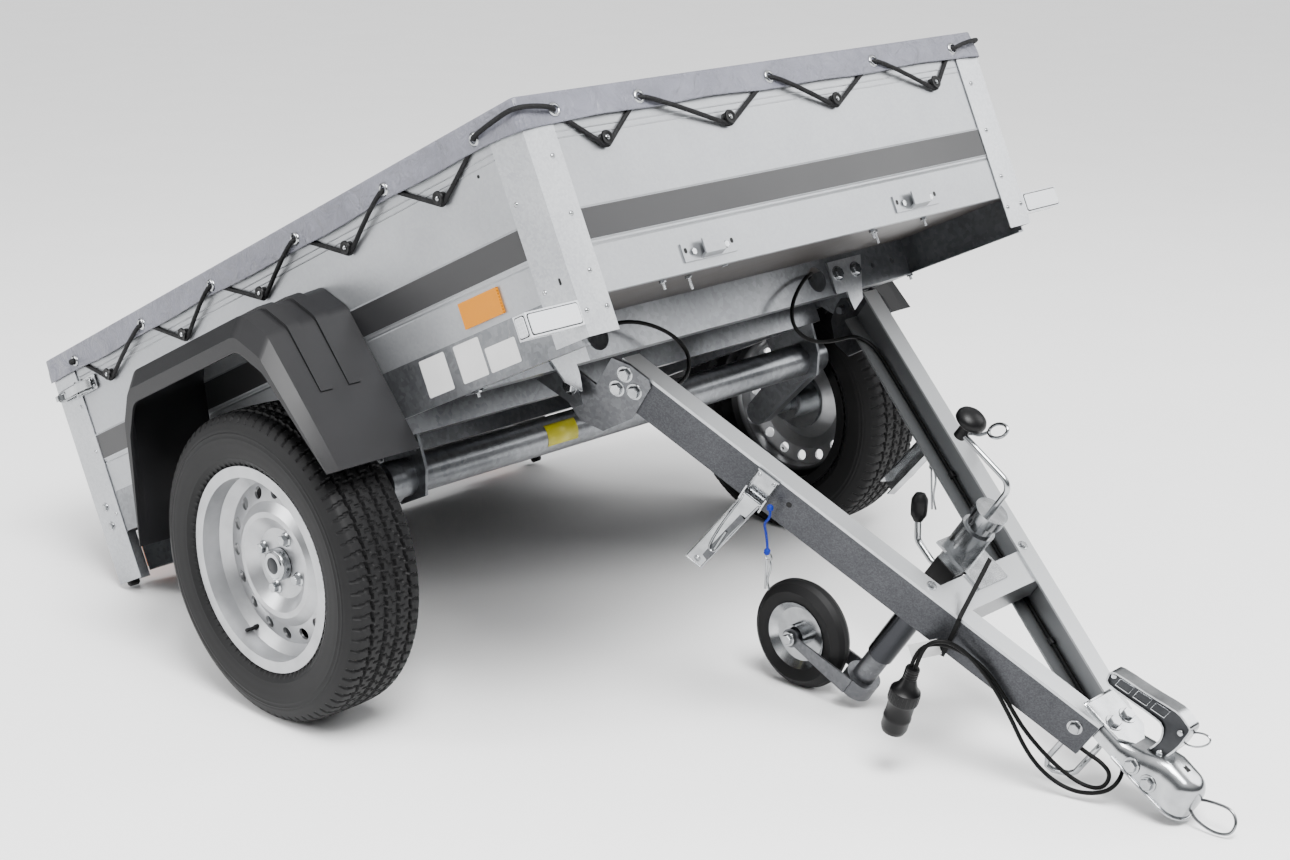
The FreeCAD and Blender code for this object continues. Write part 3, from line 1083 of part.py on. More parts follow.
# Routes of the lighting cable. On each side it leaves the cross-member's hole, loops down into its
# arm's channel, runs to the front, comes out under the coupling and hangs back to the plug.
LOOP_ROUTE = [(-330, 300, 30), (-290, 284, 34), (-262, 246, 36), (-252, 196, 18), (-248, 152, -14),
              (-246, 136, -52), (-242, 160, -84), (-234.7, 206, -97.5), (-234.7, 250, -97.5)]
FAR_ROUTE = [(81, 250.3, 28), (81, 272, 28), (98, 290, 29), (124, 296, 28.8), (170, 283.9, 28.8),
             (950, 37, 28.8), (985, 18, 34), (1016, -14, 46), (1026, -40, 22), (1006, -46, -12),
             (976, -54, -33), (936, -66, -37), (893, -79, -23), (842, -95, 12), (794, -110, 40),
             (749, -127, 58), (720, -139, 62), (700, -158, 64), (688, -174, 50), (692, -181, 26),
             (700, -181, 1.3)]
NEAR_ROUTE = [(81, -250.3, 28), (81, -272, 28), (98, -290, 29), (124, -296, 28.8), (170, -283.9, 28.8),
              (950, -37, 28.8), (982, -35, 40), (1008, -32, 36), (1014, -35, 6), (990, -43, -12),
              (950, -54, -16), (906, -66, -10), (862, -80, 4), (818, -93, 28), (768, -109, 50),
              (722, -128, 52), (694, -156, 50), (681.6, -181, 31.1), (692, -181, -1.3)]
# The plug's side from its top, as shares of its radius and length
PLUG_SHARES = [(0, 0), (0.44, 0), (0.48, 0.05), (0.6, 0.24), (0.8, 0.32), (1, 0.35), (1, 0.53),
               (0.88, 0.56), (0.88, 0.94), (0.76, 1), (0, 1)]


def cable(name, route):
    """One run of cable, with its length, its arcs' radii and its volume against its length."""
    edges, radii = bent([V(*point) for point in route])
    length = sum(edge.Length for edge in edges)
    made = swept(edges, d.cable_rad)
    print(name, "length", round(length, 1), "radii", [round(rad, 1) for rad in radii],
          "volume share", round(made.Volume / (math.pi * d.cable_rad ** 2 * length), 4))
    return solid(name, made)


def plug():
    """The lighting plug, a tapered boot and a ribbed body, which hangs on the cable's end."""
    top, before = V(*FAR_ROUTE[-1]), V(*FAR_ROUTE[-2])
    fall = (top - before).normalize()
    middle = (top + V(*NEAR_ROUTE[-1])) / 2 + fall * d.seat_gap
    line = [(d.plug_rad * wide, d.plug_length * low) for wide, low in PLUG_SHARES]
    return revolve("light_plug", line, turned(fall), middle)


def group(name, *shapes):
    made = doc.addObject("Part::Compound", name)
    made.Links = list(shapes)
    return made


other_loop = [(x, -y, z) for x, y, z in LOOP_ROUTE]
node(group("cable_loops", cable("far_loop", LOOP_ROUTE), cable("near_loop", other_loop)), BED,
     "light_cable_loops")
node(group("cables", cable("far_cable", FAR_ROUTE), cable("near_cable", NEAR_ROUTE), plug()), BAR,
     "light_cables")

doc.recompute()
failed = [obj.Name for obj in doc.Objects if "Invalid" in obj.State or "Error" in obj.State]
failed += [obj.Label for obj in NODES if obj.Shape.isNull() or not obj.Shape.isValid()]
if failed:
    raise RuntimeError("these pieces failed: " + ", ".join(failed))

# The part's origin is on the floor under the middle of its overall length
ends = [obj.Shape.BoundBox for obj in NODES]
middle = (min(b.XMin for b in ends) + max(b.XMax for b in ends)) / 2
for obj in NODES:
    if obj.TypeId != "Part::Mirroring":
        obj.Placement.Base.x -= middle
doc.recompute()

os.makedirs("parts", exist_ok=True)
for obj in NODES:
    obj.Shape.exportStep("parts/%s.step" % obj.Label)
print("middle", middle, "pivot", BAR.Base, "jockey", BAR.multVec(V(jockey_x, 0, jockey_z)))
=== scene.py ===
import math

import bmesh
import bpy
import numpy as np
from bpy.props import FloatProperty, FloatVectorProperty, IntProperty, PointerProperty
from bpy.types import Operator, Panel, PropertyGroup
from mathutils import Matrix, Vector


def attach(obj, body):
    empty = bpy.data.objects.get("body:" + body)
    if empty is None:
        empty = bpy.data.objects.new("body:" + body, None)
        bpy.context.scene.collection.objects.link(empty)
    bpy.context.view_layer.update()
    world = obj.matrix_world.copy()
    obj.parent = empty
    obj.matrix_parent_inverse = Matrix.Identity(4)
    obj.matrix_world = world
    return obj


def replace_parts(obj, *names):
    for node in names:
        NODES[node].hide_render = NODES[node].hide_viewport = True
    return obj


bl_info = {
    "name": "Utility Trailer",
    "version": (1, 0, 0),
    "blender": (4, 5, 0),
    "location": "3D View > Sidebar > Trailer",
    "description": "Dresses a parked box trailer with a laced soft cover: metals, cloth and rubber",
    "category": "Object",
}

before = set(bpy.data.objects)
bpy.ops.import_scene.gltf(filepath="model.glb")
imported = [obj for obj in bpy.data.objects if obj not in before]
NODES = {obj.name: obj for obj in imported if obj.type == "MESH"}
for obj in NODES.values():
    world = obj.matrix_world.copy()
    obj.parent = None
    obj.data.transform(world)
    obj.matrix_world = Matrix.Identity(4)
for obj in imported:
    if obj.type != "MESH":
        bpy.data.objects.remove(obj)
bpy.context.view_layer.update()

# The box and the drawbar are drawn level, each in millimetres in a frame of its own, as they are built.
# The box's frame starts at its front face; the drawbar's starts at its hinge pin.
PITCH, SLOPE = math.radians(25.0), math.radians(34.4)
BOX_ORIGIN = np.array([407.797, 0.0, 759.45])
PIN = np.array([153.655, 0.0, 594.60])
BOX_AXES = np.array([[math.cos(PITCH), 0, math.sin(PITCH)], [0, 1, 0],
                     [-math.sin(PITCH), 0, math.cos(PITCH)]])
BAR_AXES = np.array([[math.cos(SLOPE), 0, -math.sin(SLOPE)], [0, 1, 0],
                     [math.sin(SLOPE), 0, math.cos(SLOPE)]])
X, Y, Z = (1, 0, 0), (0, 1, 0), (0, 0, 1)

# Each arm comes in by the taper for each millimetre along the drawbar
TAPER = 0.3167
LEAN = math.atan(TAPER)
# Half the box's width and its length, where the left wheel turns, and where the axle tube lies
HALF, LONG = 575.0, 1550.0
WHEEL = (-781.0, 678.0, -172.0)
AXLE_X, AXLE_Z = -600, -98
MATERIALS = {}


def boxed(points):
    """Points of the box's own frame, in mm, as metres in the trailer's stance."""
    return (np.asarray(points, float) @ BOX_AXES + BOX_ORIGIN) / 1000


def barred(points):
    """Points of the drawbar's own frame, in mm, as metres in the trailer's stance."""
    return (np.asarray(points, float) @ BAR_AXES + PIN) / 1000


def arm_y(x):
    """Half the drawbar's outer width at a distance from its pin, a straight taper."""
    return 346.0 - TAPER * x


def arm_out(side):
    """The way straight out from an arm's outer web."""
    return math.sin(LEAN), side * math.cos(LEAN), 0


def on_arm(side, x, out, z):
    """A point beside an arm's outer web: x along the web, out from its face, turned by the taper."""
    along = x * math.cos(LEAN) + out * math.sin(LEAN)
    across = 346.3 - x * math.sin(LEAN) + out * math.cos(LEAN)
    return along, side * across, z


# Shapes

def grid_faces(rows, columns, wrap_rows=False, wrap_columns=False):
    """Quads over a grid of rows x columns points, closed round either way where asked."""
    last_r, last_c = rows - (not wrap_rows), columns - (not wrap_columns)
    r, c = np.meshgrid(np.arange(last_r), np.arange(last_c), indexing="ij")
    r1, c1 = (r + 1) % rows, (c + 1) % columns
    quads = np.stack([r * columns + c, r * columns + c1, r1 * columns + c1, r1 * columns + c], -1)
    return quads.reshape(-1, 4).tolist()


def tube_faces(rows, sides):
    """Quads round a tube of rows of points, with a face at each end."""
    ends = [list(range(sides)), [(rows - 1) * sides + n for n in range(sides)]]
    return grid_faces(rows, sides, wrap_columns=True) + ends


def smooth_path(points, per_run=8):
    """A curve through the given points: each run is a cubic whose slopes are the chords beside it."""
    p = np.asarray(points, float)
    slope = np.gradient(p, axis=0)
    t = np.linspace(0, 1, per_run, endpoint=False)[:, None]
    h0, h1 = 2 * t**3 - 3 * t**2 + 1, t**3 - 2 * t**2 + t
    h2, h3 = 3 * t**2 - 2 * t**3, t**3 - t**2
    runs = [h0 * a + h1 * u + h2 * b + h3 * v for a, b, u, v in zip(p, p[1:], slope, slope[1:])]
    return np.concatenate(runs + [p[-1:]])


def rod(path, radius, sides=10, closed=False):
    """A round section carried along a path, on a frame that turns as little as it can, with its ends
    capped."""
    path = np.asarray(path, float)
    run = np.gradient(path, axis=0)
    if closed:
        run = np.roll(path, -1, axis=0) - np.roll(path, 1, axis=0)
    run /= np.linalg.norm(run, axis=1)[:, None]
    side = np.cross(run[0], [0.31, 0.52, 0.79])
    across = []
    for way in run:
        side = side - way * (side @ way)
        side /= np.linalg.norm(side)
        across.append(side)
    u = np.array(across)
    v = np.cross(run, u)
    turn = np.linspace(0, 2 * np.pi, sides, endpoint=False)
    ring = u[:, None] * np.cos(turn)[None, :, None] + v[:, None] * np.sin(turn)[None, :, None]
    points = (path[:, None] + ring * radius).reshape(-1, 3)
    if closed:
        return points, grid_faces(len(path), sides, wrap_rows=True, wrap_columns=True)
    return points, tube_faces(len(path), sides)


def turned(outline, centre, axis, sides=24):
    """A line of (radius, height) turned about an axis through a centre, its ends capped."""
    axis = np.asarray(axis, float) / np.linalg.norm(axis)
    u = np.cross(axis, [0.13, 0.37, 0.92])
    u /= np.linalg.norm(u)
    v = np.cross(axis, u)
    r, z = np.asarray(outline, float).T
    turn = np.linspace(0, 2 * np.pi, sides, endpoint=False)
    ring = np.cos(turn)[:, None] * u + np.sin(turn)[:, None] * v
    points = np.asarray(centre, float) + r[:, None, None] * ring[None] + z[:, None, None] * axis
    return points.reshape(-1, 3), tube_faces(len(r), sides)


def plate(outline, corner, u, v, thick):
    """A flat outline of (u, v) places, given a thickness along u x v."""
    u, v = np.asarray(u, float), np.asarray(v, float)
    flat = np.asarray(outline, float)
    low = np.asarray(corner, float) + flat[:, :1] * u + flat[:, 1:] * v
    points = np.concatenate([low, low + np.cross(u, v) * thick])
    count = len(flat)
    n = np.arange(count)
    walls = np.stack([n, (n + 1) % count, (n + 1) % count + count, n + count], -1).tolist()
    return points, walls + [n.tolist(), (n + count).tolist()]


def rounded(width, height, rad, steps=4):
    """A rectangle's outline about its middle with its corners rounded by quarter circles."""
    turn = np.linspace(0, np.pi / 2, steps + 1)
    quarter = np.stack([np.cos(turn), np.sin(turn)], -1) * rad
    x, y = width / 2 - rad, height / 2 - rad
    spin = np.array([[0, 1], [-1, 0]])
    return np.concatenate([quarter + (x, y), quarter @ spin + (-x, y),
                           -quarter + (-x, -y), -quarter @ spin + (x, -y)])


def ribbon(path, across, width, thick):
    """A flat strip carried along a path, its width across the run and its thickness under it."""
    path = np.asarray(path, float)
    run = np.gradient(path, axis=0)
    run /= np.linalg.norm(run, axis=1)[:, None]
    side = np.broadcast_to(np.asarray(across, float), path.shape)
    side = side - run * np.sum(side * run, axis=1)[:, None]
    side /= np.linalg.norm(side, axis=1)[:, None]
    up = np.cross(side, run)
    corners = np.array([(-0.5, -0.5), (0.5, -0.5), (0.5, 0.5), (-0.5, 0.5)]) * (width, thick)
    points = path[:, None] + side[:, None] * corners[None, :, :1] + up[:, None] * corners[None, :, 1:]
    return points.reshape(-1, 3), tube_faces(len(path), 4)


def reworked(mesh, change):
    """Runs a change on a mesh in edit form and writes it back."""
    shell = bmesh.new()
    shell.from_mesh(mesh)
    change(shell)
    shell.to_mesh(mesh)
    shell.free()


def piece(name, shapes, finish, body, bevel=0.0, closed=True, uv=None, sharp=35.0):
    """One object from several shapes in mm, placed in metres by the frame of the body it rides on, its
    closed shells facing outwards."""
    points, faces = [], []
    for flat, quads in shapes:
        start = sum(len(p) for p in points)
        points.append(np.asarray(flat, float).reshape(-1, 3))
        faces += [[n + start for n in face] for face in quads]
    place = barred if body in ("drawbar", "jockey_caster") else boxed
    mesh = bpy.data.meshes.new(name)
    mesh.from_pydata(place(np.concatenate(points)).tolist(), [], faces)
    if uv is not None:
        layer = mesh.uv_layers.new(name="flat")
        loops = np.empty(len(mesh.loops), np.int64)
        mesh.loops.foreach_get("vertex_index", loops)
        layer.data.foreach_set("uv", np.asarray(uv, float).reshape(-1, 2)[loops].ravel())
    if closed:
        reworked(mesh, lambda shell: bmesh.ops.recalc_face_normals(shell, faces=shell.faces))
    mesh.shade_smooth()
    mesh.set_sharp_from_angle(angle=math.radians(sharp))
    made = bpy.data.objects.new(name, mesh)
    bpy.context.scene.collection.objects.link(made)
    mesh.materials.append(MATERIALS[finish])
    if bevel:
        edge = made.modifiers.new("edge", "BEVEL")
        edge.width, edge.segments, edge.limit_method = bevel / 1000, 2, "ANGLE"
    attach(made, body)
    return made


def walled(made, thick, offset):
    """Gives an open surface a thickness in metres."""
    wall = made.modifiers.new("wall", "SOLIDIFY")
    wall.thickness, wall.offset = thick, offset


def bolt(at, axis, size=6.5, tall=5.0, washer=True):
    """A hexagon head with its chamfer, on a round washer."""
    head = [(size * 1.12, 0.5), (size * 1.12, tall * 0.82), (size, tall), (0.1, tall)]
    ring = [(size * 1.5, 0), (size * 1.55, 0.4), (size * 1.5, 1.4), (size, 1.6)]
    return [turned(head, at, axis, 6)] + [turned(ring, at, axis, 20)] * washer


def stud(at, axis, length, rad=3.0):
    """A threaded end with its nut: rings a pitch apart along a shank, and a hexagon at its root."""
    pitch, depth = 1.25, 0.45
    marks = np.arange(0, length, pitch / 2)
    line = np.stack([rad - depth * (np.arange(len(marks)) % 2), marks], -1)
    nut = [(rad * 2, 0), (rad * 2.05, 0.6), (rad * 2.05, 4.6), (rad * 1.8, 5)]
    return [turned(line, at, axis, 12), turned(nut, at, axis, 6)]


def rivet(at, axis, rad=4.2):
    """A domed rivet head, an arc from its rim to its crown."""
    turn = np.linspace(0, np.pi / 2, 5)
    return turned(np.stack([rad * np.cos(turn) + 0.05, 0.62 * rad * np.sin(turn)], -1), at, axis, 14)


# Finishes

def linear(hexa):
    """A linear colour from an sRGB hex value."""
    parts = [int(hexa[n:n + 2], 16) / 255 for n in (1, 3, 5)]
    return tuple(c / 12.92 if c <= 0.04045 else ((c + 0.055) / 1.055) ** 2.4 for c in parts) + (1.0,)


def add(tree, kind, sockets=None, stops=(), **settings):
    """Adds a shader node with its settings. A node or a socket given for an input is linked and a value
    is set; stops are (place, colour) pairs of a ramp, each colour an sRGB hex value or a linear one."""
    made = tree.nodes.new("ShaderNode" + kind)
    for key, value in settings.items():
        setattr(made, key, value)
    for key, value in (sockets or {}).items():
        if isinstance(value, bpy.types.Node):
            value = next(out for out in value.outputs if not out.is_unavailable)
        if isinstance(value, bpy.types.NodeSocket):
            tree.links.new(value, made.inputs[key])
        else:
            made.inputs[key].default_value = value
    for n, (place, shade) in enumerate(stops):
        element = made.color_ramp.elements[n] if n < 2 else made.color_ramp.elements.new(place)
        element.position = place
        element.color = linear(shade) if isinstance(shade, str) else (*shade, 1.0)
    return made


def new_material(name):
    """A material, its emptied tree and its coordinates in metres."""
    material = bpy.data.materials.new(name)
    material.use_nodes = True
    tree = material.node_tree
    tree.nodes.clear()
    return material, tree, add(tree, "TexCoord").outputs["Object"]


def surfaced(material, tree, sockets):
    """Ends a material's tree in its shader, with the sockets that the finish sets."""
    add(tree, "OutputMaterial", {"Surface": add(tree, "BsdfPrincipled", sockets)})
    return material


def levelled(tree, where, pitch):
    """Object coordinates turned about the width to lie along the box or the drawbar, as X, Y and Z."""
    level = add(tree, "Mapping", {"Vector": where, "Rotation": (0, pitch, 0)})
    return add(tree, "SeparateXYZ", {"Vector": level}).outputs


def above_bar(tree, where, height):
    """A mask of what lies higher than a height in metres over the drawbar's middle plane."""
    z = levelled(tree, where, -SLOPE)["Z"]
    middle = float(PIN @ BAR_AXES[2]) / 1000
    return add(tree, "Math", {0: z, 1: middle + height}, operation="GREATER_THAN")


def between_webs(tree, where):
    """A mask of what lies between the arms' outer faces: |y| + taper x is less than half their width
    at the pin."""
    parts = levelled(tree, where, -SLOPE)
    far = add(tree, "Math", {0: parts["Y"]}, operation="ABSOLUTE")
    wide = add(tree, "Math", {0: parts["X"], 1: TAPER, 2: far}, operation="MULTIPLY_ADD")
    edge = 0.3435 + TAPER * float(PIN @ BAR_AXES[0]) / 1000
    return add(tree, "Math", {0: wide, 1: edge}, operation="LESS_THAN")


def on_band(tree, where):
    """A mask of the walls' raised band: between two heights above the box's floor line."""
    height = levelled(tree, where, PITCH)["Z"]
    foot = float(BOX_ORIGIN @ BOX_AXES[2]) / 1000
    above = add(tree, "Math", {0: height, 1: foot + 0.1415}, operation="GREATER_THAN")
    below = add(tree, "Math", {0: height, 1: foot + 0.1895}, operation="LESS_THAN")
    return add(tree, "Math", {0: above, 1: below}, operation="MULTIPLY")


def galvanised(name, dark, mid, light, rough, spangle, crystals, banded=False, painted_bar_light=False):
    """Hot-dip zinc on rolled steel sheet: cloudy greys with the faint crystals of the zinc, spangle mm
    wide, each a little lighter or darker, and a roughness that follows them. The walls' band is under a
    dark film that isn't metal. On the drawbar the inside between the arms' webs is a lighter grey, a
    painted reflection, and the top flanges a paler grey still, a painted highlight."""
    material, tree, where = new_material(name)
    metal, masks = 0.85, []
    cells = add(tree, "TexVoronoi", {"Vector": where, "Scale": 1000 / spangle})
    clouds = add(tree, "TexNoise", {"Vector": where, "Scale": 5.0, "Detail": 5.0, "Roughness": 0.55})
    grain = add(tree, "TexNoise", {"Vector": where, "Scale": 420.0, "Detail": 2.0})
    crystal = add(tree, "SeparateColor", {"Color": cells.outputs["Color"]})
    spots = add(tree, "Math", {0: crystal, 1: crystals}, operation="MULTIPLY")
    mixed = add(tree, "Math", {0: clouds, 1: 1 - crystals, 2: spots}, operation="MULTIPLY_ADD")
    colour = add(tree, "ValToRGB", {"Fac": mixed}, [(0.28, dark), (0.52, mid), (0.78, light)])
    spread = add(tree, "MapRange", {"Value": mixed, "To Min": rough - 0.06, "To Max": rough + 0.08})
    if banded:
        masks = [(on_band(tree, where), "#19191b")]
        metal = add(tree, "MapRange", {"Value": masks[0][0], "To Min": metal, "To Max": 0.0})
    if painted_bar_light:
        # Painted light: lighter grey between the arms' webs as painted reflection, pale grey on the top
        # flanges as painted highlight
        masks = [(between_webs(tree, where), "#7c7e80"), (above_bar(tree, where, 0.0885), "#b0b2b4")]
    for mask, shade in masks:
        colour = add(tree, "Mix", {"Factor": mask, "A": colour, "B": linear(shade)}, data_type="RGBA")
    normal = add(tree, "Bump", {"Height": grain, "Distance": 0.0002, "Strength": 0.2})
    return surfaced(material, tree, {"Base Color": colour, "Metallic": metal, "Roughness": spread,
                                     "Normal": normal})


def plain_metal(name, dark, light, rough, metal=1.0, grain=300.0, painted_shade_within=0.0, shaded=False):
    """Bright zinc plate, wire or silver paint: one colour, with a fine uneven polish. On a wheel,
    nearer the middle than a given distance, the colour is dark: painted shade on the rim's inner side.
    Below the arms the jockey wheel's tube is dark: painted shade under the drawbar."""
    material, tree, where = new_material(name)
    fine = add(tree, "TexNoise", {"Vector": where, "Scale": grain, "Detail": 3.0})
    slow = add(tree, "TexNoise", {"Vector": where, "Scale": 24.0, "Detail": 3.0})
    colour = add(tree, "ValToRGB", {"Fac": slow}, [(0.3, dark), (0.7, light)])
    spread = add(tree, "MapRange", {"Value": slow, "To Min": rough - 0.05, "To Max": rough + 0.07})
    # Painted shade: near the middle across the width the silver turns near black, as the shade on the
    # rims' inner sides
    if painted_shade_within:
        y = add(tree, "SeparateXYZ", {"Vector": where}).outputs["Y"]
        far = add(tree, "Math", {0: y}, operation="ABSOLUTE")
        inner = add(tree, "MapRange", {"Value": far, "From Min": painted_shade_within, "From Max": painted_shade_within + 0.012,
                                       "To Min": 1.0, "To Max": 0.0})
        colour = add(tree, "Mix", {"Factor": inner, "A": colour, "B": linear("#161617")},
                     data_type="RGBA")
    # Painted shade: below the arms the jack tube turns dark grey, as the shade under the drawbar
    if shaded:
        colour = add(tree, "Mix", {"Factor": above_bar(tree, where, 0.060), "A": linear("#36373a"),
                                   "B": colour}, data_type="RGBA")
    normal = add(tree, "Bump", {"Height": fine, "Distance": 0.0001, "Strength": 0.2})
    return surfaced(material, tree, {"Base Color": colour, "Metallic": metal, "Roughness": spread,
                                     "Normal": normal})


def moulded(name, dark, light, rough, grain=900.0, depth=0.00015, specular=0.5):
    """Moulded plastic or rubber: two close shades, with the fine leather-like grain of the mould."""
    material, tree, where = new_material(name)
    fine = add(tree, "TexVoronoi", {"Vector": where, "Scale": grain}, feature="SMOOTH_F1")
    slow = add(tree, "TexNoise", {"Vector": where, "Scale": 14.0, "Detail": 4.0})
    colour = add(tree, "ValToRGB", {"Fac": slow}, [(0.3, dark), (0.7, light)])
    spread = add(tree, "MapRange", {"Value": slow, "To Min": rough - 0.05, "To Max": rough + 0.05})
    normal = add(tree, "Bump", {"Height": fine, "Distance": depth, "Strength": 0.5})
    return surfaced(material, tree, {"Base Color": colour, "Roughness": spread, "Normal": normal,
                                     "Specular IOR Level": specular})


def lens(name, stops, cell=5.0, across=False):
    """Moulded acrylic lens: small square prisms, cell mm wide, behind a smooth glossy face, in one
    colour or in several that change across the trailer's width."""
    material, tree, where = new_material(name)
    level = add(tree, "Mapping", {"Vector": where, "Rotation": (0, PITCH, 0)})
    prisms = add(tree, "TexVoronoi", {"Vector": level, "Scale": 1000 / cell, "Randomness": 0.0},
                 distance="CHEBYCHEV")
    place = prisms
    if across:
        y = add(tree, "SeparateXYZ", {"Vector": level}).outputs["Y"]
        far = add(tree, "Math", {0: y}, operation="ABSOLUTE")
        place = add(tree, "MapRange", {"Value": far, "From Min": 0.295, "From Max": 0.505})
    colour = add(tree, "ValToRGB", {"Fac": place}, stops)
    colour.color_ramp.interpolation = "CONSTANT" if across else "LINEAR"
    normal = add(tree, "Bump", {"Height": prisms, "Distance": 0.0015, "Strength": 0.8})
    return surfaced(material, tree, {"Base Color": colour, "Roughness": 0.12, "Normal": normal,
                                     "Specular IOR Level": 0.12})


def coated_cloth(name, dark, light):
    """Coated PVC cloth: a plain weave 1.2 mm apart pressed into a satin film, with soft long folds."""
    material, tree, _ = new_material(name)
    uv = add(tree, "UVMap", uv_map="flat")
    threads = [add(tree, "TexWave", {"Vector": uv, "Scale": 260.0}, bands_direction=way).outputs["Fac"]
               for way in "XY"]
    weave = add(tree, "Math", {0: threads[0], 1: threads[1]}, operation="MULTIPLY")
    slow = add(tree, "TexNoise", {"Vector": uv, "Scale": 9.0, "Detail": 4.0, "Roughness": 0.55})
    crease = add(tree, "TexNoise", {"Vector": uv, "Scale": 30.0, "Detail": 5.0, "Distortion": 0.8})
    colour = add(tree, "ValToRGB", {"Fac": slow}, [(0.3, dark), (0.72, light)])
    rough = add(tree, "MapRange", {"Value": crease, "To Min": 0.30, "To Max": 0.46})
    folds = add(tree, "Bump", {"Height": crease, "Distance": 0.012, "Strength": 0.7})
    normal = add(tree, "Bump", {"Height": weave, "Distance": 0.0003, "Strength": 0.3, "Normal": folds})
    return surfaced(material, tree, {"Base Color": colour, "Roughness": rough, "Sheen Weight": 0.1,
                                     "Normal": normal})


def braided(name, dark, light):
    """Rubber shock cord in a braided sleeve: a weave of dark threads with a few lighter ones."""
    material, tree, where = new_material(name)
    threads = add(tree, "TexVoronoi", {"Vector": where, "Scale": 620.0})
    pick = add(tree, "SeparateColor", {"Color": threads.outputs["Color"]})
    colour = add(tree, "ValToRGB", {"Fac": pick}, [(0.55, dark), (0.95, light)])
    normal = add(tree, "Bump", {"Height": threads, "Distance": 0.0006, "Strength": 0.6})
    return surfaced(material, tree, {"Base Color": colour, "Roughness": 0.75, "Normal": normal,
                                     "Specular IOR Level": 0.25})


class TrailerLooks(PropertyGroup):
    """Sizes and colours that a user would change."""
    cloth_dark: FloatVectorProperty(name="Cover, dark", description="Darker shade of the cloth",
                                    subtype="COLOR", default=linear("#555660")[:3])
    cloth_light: FloatVectorProperty(name="Cover, light", description="Lighter shade of the cloth",
                                     subtype="COLOR", default=linear("#686973")[:3])
    rope_rad: FloatProperty(name="Rope", description="Radius of the lacing rope", default=0.0040,
                            subtype="DISTANCE", unit="LENGTH")
    eyelet_rad: FloatProperty(name="Eyelet", description="Outer radius of the cover's eyelets",
                              default=0.0115, subtype="DISTANCE", unit="LENGTH")
    tread_pitches: IntProperty(name="Tread pitches", description="Tread blocks round a road tyre",
                               default=80)
    key_power: FloatProperty(name="Key light", description="Power of the light overhead", default=640.0,
                             subtype="POWER", unit="POWER")


# Nodes by the first letters of their names; where two fit, the longer one counts
NODE_FINISHES = {
    "panel": ("side_panel", "front_panel", "tailgate"),
    "post": ("front_post", "rear_post", "v_plate"),
    "member": ("side_rail", "front_cross", "mid_cross", "rear_cross", "pivot", "long_beam", "axle",
               "trailing", "lamp_bar", "rear_sill"),
    "arm": ("drawbar",),
    "dull": ("hinge", "jockey_fork", "jockey_inner"),
    "tube": ("jockey_outer",),
    "bright": ("hub", "toggle", "coupling", "jockey"),
    "rim": ("rim",),
    "tyre": ("tyre", "jockey_tyre"),
    "guard": ("mudguard",),
    "cable": ("light",),
    "ply": ("floor",),
    "amber": ("side_reflector",),
    "clear": ("front_lamp",),
    "red": ("rear_lamp",),
    "cloth": ("cover",),
}


